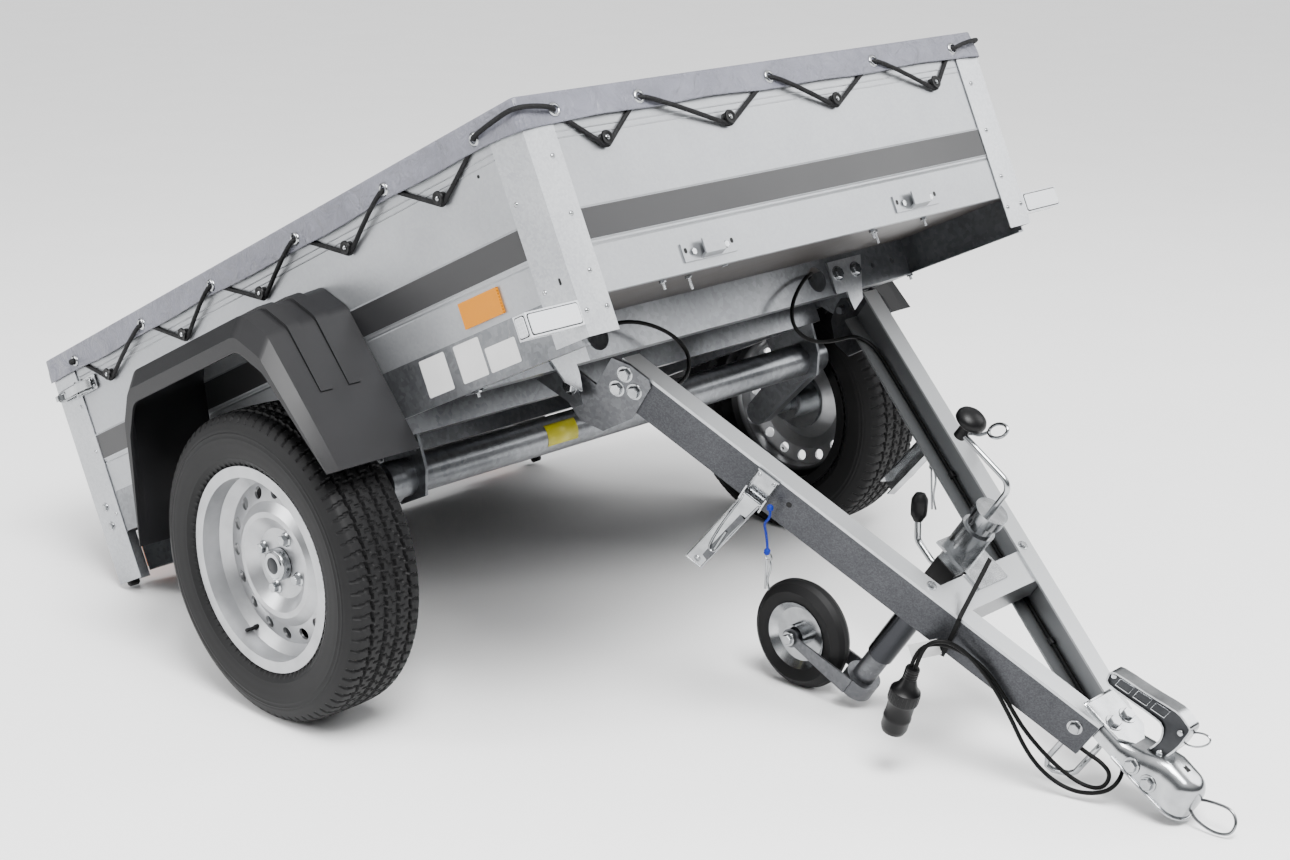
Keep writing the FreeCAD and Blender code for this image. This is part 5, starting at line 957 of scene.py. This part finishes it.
class TRAILER_OT_fittings(Operator):
    """Adds the rivets, bolts, holes, labels, latches and feet of the box"""
    bl_idname = "trailer.fittings"
    bl_label = "Box fittings"

    def execute(self, context):
        rivets, bolts, dark = [], [], []
        for side in (-1, 1):
            out = (0, side, 0)
            rivets += [rivet((x, side * HALF, z), out) for x, z in
                       ((-63.5, 224.5), (-63.5, 85.8), (-1479, 160), (-1479, 255), (-1479, 30))]
            rivets += [rivet((0, side * y, z), X) for y, z in
                       ((532, 275), (532, 185), (532, 96), (563, 39), (521, 38))]
            for z in (50.5, 10.7):
                bolts += bolt((-1510, side * HALF, z), out, 6.0, 4.5)
            # A slot and a hole in each side wall's front end, as black plates of painted shade
            dark += [plate(rounded(5, 11, 2.4), (-24, side * HALF, 92), X, Z, -side * 0.25),
                     plate(rounded(6, 6, 2.9), (-128, side * (HALF - 3), 290), X, Z, -side * 0.25)]
            # Under the side rails, on the pivot brackets and on the axle's lugs
            for x in (-296.5, -600, -1110):
                bolts += stud((x, side * (HALF - 10), -10), (0, 0, -1), 12)
            for y in (345.2, 397.7):
                bolts += bolt((-284, side * y, 24.5), X, 9.6, 7.6)
            for dx in (-52, 52):
                bolts += bolt((AXLE_X + dx, side * 523.2, -52), out, 7.0, 5.0)
            # Bolts of the catch plates on their faces, and a black plate of painted shade in each side
            # hole
            for y in (270 - 38, 270 + 38):
                bolts += bolt((0, side * y, 88), X, 5.4, 3.6, washer=False)
            dark += [plate(rounded(7, 9, 3.4), (0.15, side * y, 92), Y, Z, 0.2)
                     for y in (270 - 54, 270 + 54)]
        # Ends of the floor's screws below the front wall; over the arms' travel only a flat head fits
        for x, y, long in ((-21, -372, 16), (-40, -294, 24), (-21, 153, 16), (-40, 183, 24),
                           (-21, 300, 16)):
            bolts += stud((x, y, 59), (0, 0, -1), long, 2.8)
        bolts += bolt((-21, -226, 59), (0, 0, -1), 5.0, 2.4, washer=False)
        piece("box_rivets", rivets, "bright", "bed")
        piece("box_bolts", bolts, "bright", "bed")
        # Black plates of painted shade in each slot and hole of the walls and catch plates
        piece("box_hole_shades", dark, "plastic", "bed")
        self.beads()
        self.lenses()
        self.labels()
        self.latches()
        foot = [(0.1, -10), (9, -10), (12.5, -6), (13, 0), (11, 2)]
        feet = [turned(foot, (-1524, side * (HALF - 16), -106.2), Z, 24) for side in (-1, 1)]
        piece("rear_feet", feet, "plastic", "bed")
        return {"FINISHED"}

    def beads(self):
        """Two fine beads pressed in each wall: thin round bars sunk to their middles."""
        walls = [((-82, side * (HALF - 3)), (-1458, side * (HALF - 3))) for side in (-1, 1)]
        walls.append(((-3, -508), (-3, 508)))
        gate = [((-LONG + 1, -500), (-LONG + 1, 500))]
        for name, lines, body in (("panel_beads", walls, "bed"), ("tailgate_beads", gate, "tailgate")):
            beads = [rod([(*start, z), (*end, z)], 1.2, 8)
                     for start, end in lines for z in (300.5, 310.5)]
            piece(name, beads, "panel", body)

    def lenses(self):
        """A raised lens with a dark seal round it on the front and the side of each corner lamp."""
        seals, faces = [], []
        for node in ("front_lamp_left", "front_lamp_right"):
            lamp = NODES[node]
            corners = np.array([lamp.matrix_world @ v.co for v in lamp.data.vertices]) * 1000
            level = (corners - BOX_ORIGIN) @ BOX_AXES.T
            low, high = level.min(0), level.max(0)
            middle, size = (low + high) / 2, high - low
            for shapes, inset, lift in ((seals, 5, 0.3), (faces, 8, 1.9)):
                front = rounded(size[1] - inset, size[2] - inset, 4)
                shapes.append(plate(front, (high[0], middle[1], middle[2]), Y, Z, lift))
                end = rounded(size[0] - inset, size[2] - inset, 4)
                edge = high[1] + lift if middle[1] > 0 else low[1]
                shapes.append(plate(end, (middle[0], edge, middle[2]), X, Z, lift))
        piece("corner_lamp_seals", seals, "plastic", "bed")
        piece("corner_lamp_lenses", faces, "clear", "bed", bevel=0.8)

    def labels(self):
        """Blank film labels: three rounded ones on the right rail, and one bent round the axle."""
        films = [plate(rounded(wide, tall, 3), (x, -HALF + 2, z), X, Z, 0.35) for x, z, wide, tall
                 in ((-372, 35.5, 68, 62), (-279, 35.8, 66, 62), (-201, 24.5, 76, 40))]
        piece("blank_labels", films, "white_label", "bed")
        turn, y = np.meshgrid(np.linspace(-0.5, 0.72, 14), np.linspace(-218, -143, 3))
        film = np.stack([AXLE_X + 33.5 * np.cos(turn), y, AXLE_Z - 33.5 * np.sin(turn)], -1)
        label = piece("axle_label", [(film, grid_faces(3, 14))], "yellow_label", "bed", closed=False)
        walled(label, 0.0003, 0.0)

    def latches(self):
        """The tailgate's over-centre latch at each rear corner: a base with two ears, a pressed lever
        with its finger end, and a wire loop round a hook near the corner."""
        base_x, mid_z = -1438, 288
        plates, wires = [], []
        for side in (-1, 1):
            def at(x, out, z):
                return (x, side * (HALF + 0.2) + side * out, z)

            def base(outline, x, thick):
                return plate(outline, at(x, 0 if side < 0 else thick, mid_z), X, Z, thick)

            plates.append(base(rounded(96, 30, 5), base_x, 2.2))
            ear = [(-30, 0), (26, 0), (20, 13), (-6, 17), (-26, 10)]
            plates += [plate(ear, at(base_x, 1, z), X, (0, side, 0), 2) for z in (276, 298)]
            lever = [(-1402, 7), (-1418, 13), (-1450, 17), (-1474, 15.5), (-1490, 17)]
            plates.append(ribbon(smooth_path([at(x, out, mid_z) for x, out in lever], 6), Z, 17, 2))
            wires += [rod([at(x, 12, 274), at(x, 12, 302)], 2.6, 10) for x in (-1452, -1424)]
            plates += [rivet(at(base_x + dx, 2, z), (0, side, 0), 2.8)
                       for z in (281, 295) for dx in (-36, 36)]
            loop = [(-1452, 12, 279), (-1490, 10, 279), (-1530, 8, 280), (-1541, 8, 288),
                    (-1530, 8, 296), (-1490, 10, 297), (-1452, 12, 297)]
            wires.append(rod(smooth_path([at(*p) for p in loop], 5), 2.4, 8))
            hook = [(-1512, 1.2), (-1524, 3), (-1532, 12), (-1541, 13.4)]
            plates.append(ribbon(smooth_path([at(x, out, mid_z) for x, out in hook], 5), Z, 11, 2.2))
            plates.append(base(rounded(30, 26, 4), -1508, 2))
        piece("tailgate_latches", plates, "bright", "bed", bevel=0.5)
        piece("tailgate_latch_wires", wires, "wire", "bed")


# Drawbar fittings

class TRAILER_OT_drawbar(Operator):
    """Adds the bolts, grips, wire loops, clips and strap of the drawbar"""
    bl_idname = "trailer.drawbar"
    bl_label = "Drawbar fittings"

    def execute(self, context):
        bolts = []
        for side in (-1, 1):
            out, straight = arm_out(side), (0, side, 0)
            # Hinge plates and their pin, then the coupling, the stay's end and the crossbar
            for x, z in ((60, 74), (60, 41), (88, 57.5)):
                bolts += bolt(on_arm(side, x, 4.8, z), out, 9.6, 8.0)
            bolts += bolt((0, side * 370.2, 0), straight, 10.5, 8.5)
            bolts += bolt((954, side * 19, 97.7), Z, 9.6, 7.6)
            bolts += bolt((1021, side * 38, 81), straight, 9.4, 7.4)
            bolts += bolt((1057, side * 37, 81), straight, 9.4, 8.4)
            bolts += bolt((921, side * arm_y(921), 62), out, 8.5, 7.0)
            bolts += bolt((620, side * 127, 94), Z, 6.0, 4.5)
            bolts += [rivet(on_arm(side, x, 4.0, 80), out, 3.4) for x in (334, 362)]
        piece("drawbar_bolts", bolts, "bright", "drawbar")
        self.levers()
        self.grips()
        self.wires()
        self.blue_cord()
        self.strap()
        return {"FINISHED"}

    def levers(self):
        """The toggle levers' rolled edges, a darker strip between them as painted shade in their
        channel, and a black disc in each arm as painted shade in its hole.
        """
        edges, channels, holes = [], [], []
        for side in (-1, 1):
            for dx in (-15.4, 15.4):
                line = [(348, 20.6, 40), (340, 21, -20), (332, 21, -80), (324.4, 20.6, -135)]
                edges.append(rod([on_arm(side, x + dx, out, z) for x, out, z in line], 1.7, 8))
            line = [on_arm(side, 324.4 + dx, 20.6, -136.5) for dx in (-15, -5, 5, 15)]
            edges.append(rod(line, 1.7, 8))
            for rad in (5.2, 3.2):
                eye = [on_arm(side, 326 + rad * math.cos(t), 21.4, -126 + rad * math.sin(t))
                       for t in np.linspace(0, 2 * np.pi, 14, endpoint=False)]
                edges.append(rod(eye, 0.9, 6, closed=True))
            # Painted shade: a darker strip stands for the shade in each lever's channel
            strip = [on_arm(side, x, 21.1, z) for x, z in ((347, 4), (340, -45), (331, -112))]
            channels.append(ribbon(strip, (1, 0, 0.13), 23, 0.6))
            # Painted shade: a black disc in each arm's hole
            holes.append(turned([(5, 0), (5, 0.3), (0.1, 0.3)], on_arm(side, 400, 0.1, 64),
                                arm_out(side), 20))
        piece("toggle_lever_edges", edges, "bright", "drawbar")
        piece("toggle_lever_channel_shades", channels, "dull", "drawbar")
        piece("arm_hole_shades", holes, "plastic", "drawbar")

    def grips(self):
        """Black mouldings over their steel: the crank's mushroom knob, the clamp's jaw and its oval
        knob."""
        knob = [(10.2, -8), (9.6, 2), (10, 17), (14, 20.5), (22.2, 22.6), (26.2, 26), (26.4, 33),
                (24, 37.6), (18, 42), (11, 45), (0.1, 46.2)]
        oval = [(7.6, -1), (8.4, 1), (13.4, 9.6), (14, 20), (13.9, 33), (13.4, 37.6), (8.4, 46.4),
                (0.1, 47.4)]
        knobs = [turned(knob, (462, 0, 247), Z, 36),
                 turned(oval, (507, -44.3, 97.9), (-13, 0, 21.6), 28)]
        piece("black_knobs", knobs, "plastic", "drawbar", sharp=50)
        jaw = plate([(-0.6, -0.6), (44.6, -0.6), (44.6, 42), (36, 46), (-0.6, 46)], (575, -28.5, 43.7),
                    X, Z, 31.6)
        piece("clamp_jaw_cover", [jaw], "plastic", "drawbar", bevel=2.5)

    def wires(self):
        """Spring wires: safety loops at the coupling's nose and handle, the latches' bails, rings and
        the clips that hang from them."""
        nose = [(1116, 3, 96), (1135, 8, 112), (1164, 9, 129), (1184, 4, 125), (1190, -3, 107),
                (1173, -8, 91), (1143, -8, 82), (1122, -3, 84)]
        shapes = [rod(smooth_path(nose, 6), 2.5, 8),
                  self.ring((1058, 3, 176), (23.75, 2.52, 10.5), 1.6)]
        bail = [(333, 20, 38), (331, 22.5, 6), (329, 23, -40), (331, 23.4, -82), (338, 23.6, -92),
                (346, 23.4, -82), (350, 23, -40), (358, 22.5, 6), (363, 20, 38)]
        for side in (-1, 1):
            shapes.append(rod(smooth_path([on_arm(side, *p) for p in bail], 5), 2.0, 8))
            shapes.append(rod([on_arm(side, 342, 23.4, -84), on_arm(side, 342, 23.4, -40)], 2.6, 10))
        hook = [(414, 236, 124), (404, 238, 106), (392, 240, 96), (384, 232, 90)]
        shapes += [self.ring((427, 236, 141), (20, 5, 11.25), 3.0), rod(smooth_path(hook, 5), 3.0, 8),
                   self.clip((382, 205, 4), (428, 203, -52))]
        piece("spring_wires", shapes, "wire", "drawbar")

    def ring(self, middle, reach, rad):
        """An oval wire ring about a middle, tipped forwards about the width."""
        turn = np.linspace(0, 2 * np.pi, 26, endpoint=False)
        axis = np.array([[0.62, 0, 0.78], [0, 1, 0], [-0.78, 0, 0.62]])
        oval = np.stack([np.cos(turn), np.sin(turn), np.sin(turn)], -1) * reach
        return rod(np.array(middle) + oval @ axis, rad, 8, closed=True)

    def clip(self, top, foot):
        """A spring clip in an upright plane: a straight leg, a round eye at its top, and a leg that
        waves back beside it as a sine."""
        top, foot = np.asarray(top, float), np.asarray(foot, float)
        way = (foot - top) / np.linalg.norm(foot - top)
        across = np.cross(way, [0.0, 1, 0])
        t = np.linspace(0, 1, 10)[:, None]
        down = top + (foot - top) * t
        back = (down + across * (6.5 + 2.6 * np.sin(t * 2.2 * np.pi)))[::-1]
        turn = np.linspace(-0.05 * np.pi, 1.05 * np.pi, 9)[:, None]
        eye = top - way * 4 + across * 3.2 + (across * np.cos(turn) * 6 - way * np.sin(turn) * 7)
        return rod(smooth_path(np.concatenate([back, eye, down]), 4), 1.9, 8)

    def blue_cord(self):
        """The thin cord that keeps the near spring clip, from the latch down to the clip, knotted at
        both its ends."""
        bent = self.clip((410, -241, -34), (438, -243, -76))
        clip = piece("near_spring_clip", [bent], "wire", "drawbar")
        points = barred([(366, -250, 52), (372, -253, 50), (378, -252, 38), (374, -250, 20),
                         (384, -247, 8), (394, -244, -6), (402, -241, -20), (404, -241, -26)])
        cord = cable("blue_keeper_cord", points, 0.0021, "blue", "drawbar")
        knot = [(0.1, -6), (3.4, -5), (5.6, -2), (4.8, 0), (5.8, 2.4), (3.6, 5), (0.1, 6)]
        knots = piece("blue_keeper_knots", [turned(knot, (368, -250.5, 51), (0.7, -0.3, -0.6), 14),
                                            turned(knot, (403, -241.5, -22), (0.4, 0.1, -0.9), 14)],
                      "blue", "drawbar", sharp=70)

    def strap(self):
        """The cable's black strap from the crossbar over the near arm, the blank tag on the cable, and
        the clips that hold it in the channels."""
        line = [(637, -27, 140), (650, -53, 129.5), (663, -79, 119), (676, -105, 108.5),
                (687, -127, 99), (692, -133.5, 92), (697, -133.5, 70), (702, -133, 45), (706, -133, 20)]
        head = plate(rounded(13, 11, 3), (697, -132.6, 30), (0.55, 0.05, 0.83), (0.83, 0, -0.55), 3.4)
        band = ribbon(smooth_path(line, 6), (1, 0.45, 0), 7.5, 1.8)
        piece("cable_strap", [band, head], "cable", "drawbar")
        tag = plate(rounded(62, 26, 2), (683, -150.6, 16), (0.5, 0, 0.866), (0.866, 0, -0.5), 0.4)
        piece("blank_tag", [tag], "white_label", "drawbar")
        clips = [turned([(5.4, -6), (6.2, -5), (6.2, 5), (5.4, 6)], (x, side * (arm_y(x) - 8.2), 28.8),
                        (math.cos(LEAN), -side * math.sin(LEAN), 0), 16)
                 for side in (-1, 1) for x in (420, 770)]
        piece("cable_clips", clips, "plastic", "drawbar")


class TRAILER_OT_coupling(Operator):
    """Presses the ball coupling: its domed body and rim, the hand lever, the gusset and the stay"""
    bl_idname = "trailer.coupling"
    bl_label = "Coupling"
    # The body's half width and foot, and where its nose's round is centred; the lever's lower rear
    # corner and its size
    half, foot, nose_x = 36, 63, 1093
    lever_at, lever_size = np.array((895, 100)), (155, 96)

    def execute(self, context):
        gusset = [(907, -38), (978.4, -38), (1001, -11.4), (1001, 11.4), (978.4, 38), (907, 38)]
        stay = [(914, -18, 91.7), (914, -18, 0), (914, -18, -48), (922, -18, -60), (934, -18, -57),
                (956, -18, -38), (962, -18, -24), (962, -18, 30), (962, -18, 91.7)]
        # Painted shade: a black strip stands for the shade in the slot on the coupling's top
        slot = ribbon([(1057, 0, 125.2), (1071, 0, 127.3), (1084, 0, 128.3)], Y, 9, 0.8)
        flat = [plate(gusset, (0, 0, 93.7), X, Y, 4.0), rod(stay, 5.0, 14)]
        edge, core, frames = self.lever()
        for name, shapes, finish, more in (
            ("coupling_body", [self.body(), self.rim()], "bright", {"sharp": 50}),
            ("coupling_gusset", flat, "bright", {"bevel": 0.8}),
            ("coupling_lever_edge", [edge] + frames, "bright", {"sharp": 60}),
            ("coupling_lever_core", [core], "core", {}),
            ("coupling_slot", [slot], "plastic", {}),
        ):
            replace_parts(piece(name, shapes, finish, "drawbar", **more), "coupling")
        return {"FINISHED"}

    def plan(self, grow):
        """The outline seen from above, from the rear right round the nose to the rear left, and the
        point of the middle line that each of its points is nearest to."""
        turn = np.linspace(-np.pi / 2, np.pi / 2, 33)
        straight = np.array([(903, -38), (950, -38), (990, -38), (1021, -38), (1040, -37.8),
                             (1060, -37.2), (1078, -36.4)])
        nose = np.stack([self.nose_x + self.half * np.cos(turn), self.half * np.sin(turn)], -1)
        line = np.concatenate([straight, nose, (straight * (1, -1))[::-1]])
        spine = np.stack([np.minimum(line[:, 0], self.nose_x), 0 * line[:, 0]], -1)
        away = line - spine
        return line + away / np.linalg.norm(away, axis=1)[:, None] * grow, spine

    def body(self):
        """From the rim up to the ridge each section is a quarter of a superellipse, so the flanks stand
        almost upright and the shoulders are round; the ridge rises in a smooth step to the dome."""
        line, spine = self.plan(0.0)
        rise = np.clip((spine[:, 0] - 985) / 80.0, 0, 1)
        crown = 93.4 + 34.6 * (rise**2 * (3 - 2 * rise))
        rows = []
        for turn in np.linspace(0, np.pi / 2, 17):
            share, tall = np.cos(turn)**0.55, np.sin(turn)**0.62
            rows.append(np.column_stack([spine + (line - spine) * share,
                                         self.foot + (crown - self.foot) * tall]))
        outer = np.array(rows)
        inner = outer.copy()
        inner[..., :2] = spine[None] + (outer[..., :2] - spine[None]) * 0.9
        inner[..., 2] = self.foot + (outer[..., 2] - self.foot) * 0.93
        grid = np.concatenate([outer, inner[::-1]])
        rows, columns = grid.shape[:2]
        ends = [[c + r * columns for r in range(rows)] for c in (0, columns - 1)]
        return grid, grid_faces(rows, columns, wrap_rows=True) + ends

    def rim(self):
        """The rolled edge round the foot: a small bar carried along the outline."""
        line, _ = self.plan(1.6)
        line = line[line[:, 0] > 955]
        return rod(np.column_stack([line, np.full(len(line), 65.3)]), 2.4, 10)

    def lever(self):
        """The hand lever: a bright edge strip round a darker web with three framed windows a side, and
        its pins. Its outline is in shares of its length and height."""
        shares = np.array([(0, 0.52), (0.05, 0.625), (0.4, 0.81), (0.74, 1), (0.9, 0.985), (0.97, 0.94),
                           (0.99, 0.75), (1, 0.52), (0.98, 0.25), (0.955, 0.05), (0.81, 0), (0.82, 0.2),
                           (0.82, 0.42), (0.71, 0.625), (0.4, 0.5), (0.065, 0.365), (0, 0.52)])
        at = self.lever_at + shares * self.lever_size
        loop = smooth_path(np.column_stack([at[:, 0], 0 * at[:, 0], at[:, 1]]), 3)
        middle = loop.mean(0)
        inset = loop + (middle - loop) / np.linalg.norm(middle - loop, axis=1)[:, None] * 1.6
        start, end = np.array((0.1, 0.515)), np.array((0.72, 0.81))
        frames = []
        for n in range(3):
            near, far = (start + (end - start) * (n + s) / 3 for s in (0.12, 0.88))
            box = np.array([near + (0, -0.085), far + (0, -0.085), far + (0, 0.085), near + (0, 0.085)])
            box = self.lever_at + box * self.lever_size
            for side in (-1, 1):
                line = np.column_stack([box[:, 0], np.full(4, side * 9.8), box[:, 1]])
                frames.append(rod(np.concatenate([line, line[:1]]), 1.1, 6))
        pin = [(5.2, 8.5), (5.2, 12.4), (4, 13.2), (0.1, 13.2)]
        frames += [turned(pin, (x, 0, z), (0, side, 0), 16)
                   for x, z in ((904, 153), (1034, 118), (1036, 172)) for side in (-1, 1)]
        return ribbon(inset, Y, 26, 3.0), plate(at[:-1], (0, 9.5, 0), X, Z, 19), frames


OPERATORS = [TRAILER_OT_finishes, TRAILER_OT_stage, TRAILER_OT_cables, TRAILER_OT_cover,
             TRAILER_OT_lacing, TRAILER_OT_wheels, TRAILER_OT_fittings, TRAILER_OT_drawbar,
             TRAILER_OT_coupling]


class TRAILER_PT_panel(Panel):
    """Lists the trailer's pieces in the sidebar"""
    bl_label = "Utility Trailer"
    bl_idname = "TRAILER_PT_panel"
    bl_space_type = "VIEW_3D"
    bl_region_type = "UI"
    bl_category = "Trailer"

    def draw(self, context):
        looks = context.scene.trailer_looks
        for key in TrailerLooks.__annotations__:
            self.layout.prop(looks, key)
        for operator in OPERATORS:
            self.layout.operator(operator.bl_idname)


CLASSES = [TrailerLooks] + OPERATORS + [TRAILER_PT_panel]


def register():
    for cls in CLASSES:
        bpy.utils.register_class(cls)
    bpy.types.Scene.trailer_looks = PointerProperty(type=TrailerLooks)


def unregister():
    del bpy.types.Scene.trailer_looks
    for cls in reversed(CLASSES):
        bpy.utils.unregister_class(cls)


def main():
    register()
    for operator in OPERATORS:
        group, name = operator.bl_idname.split(".")
        getattr(getattr(bpy.ops, group), name)()


if __name__ == "__main__":
    main()
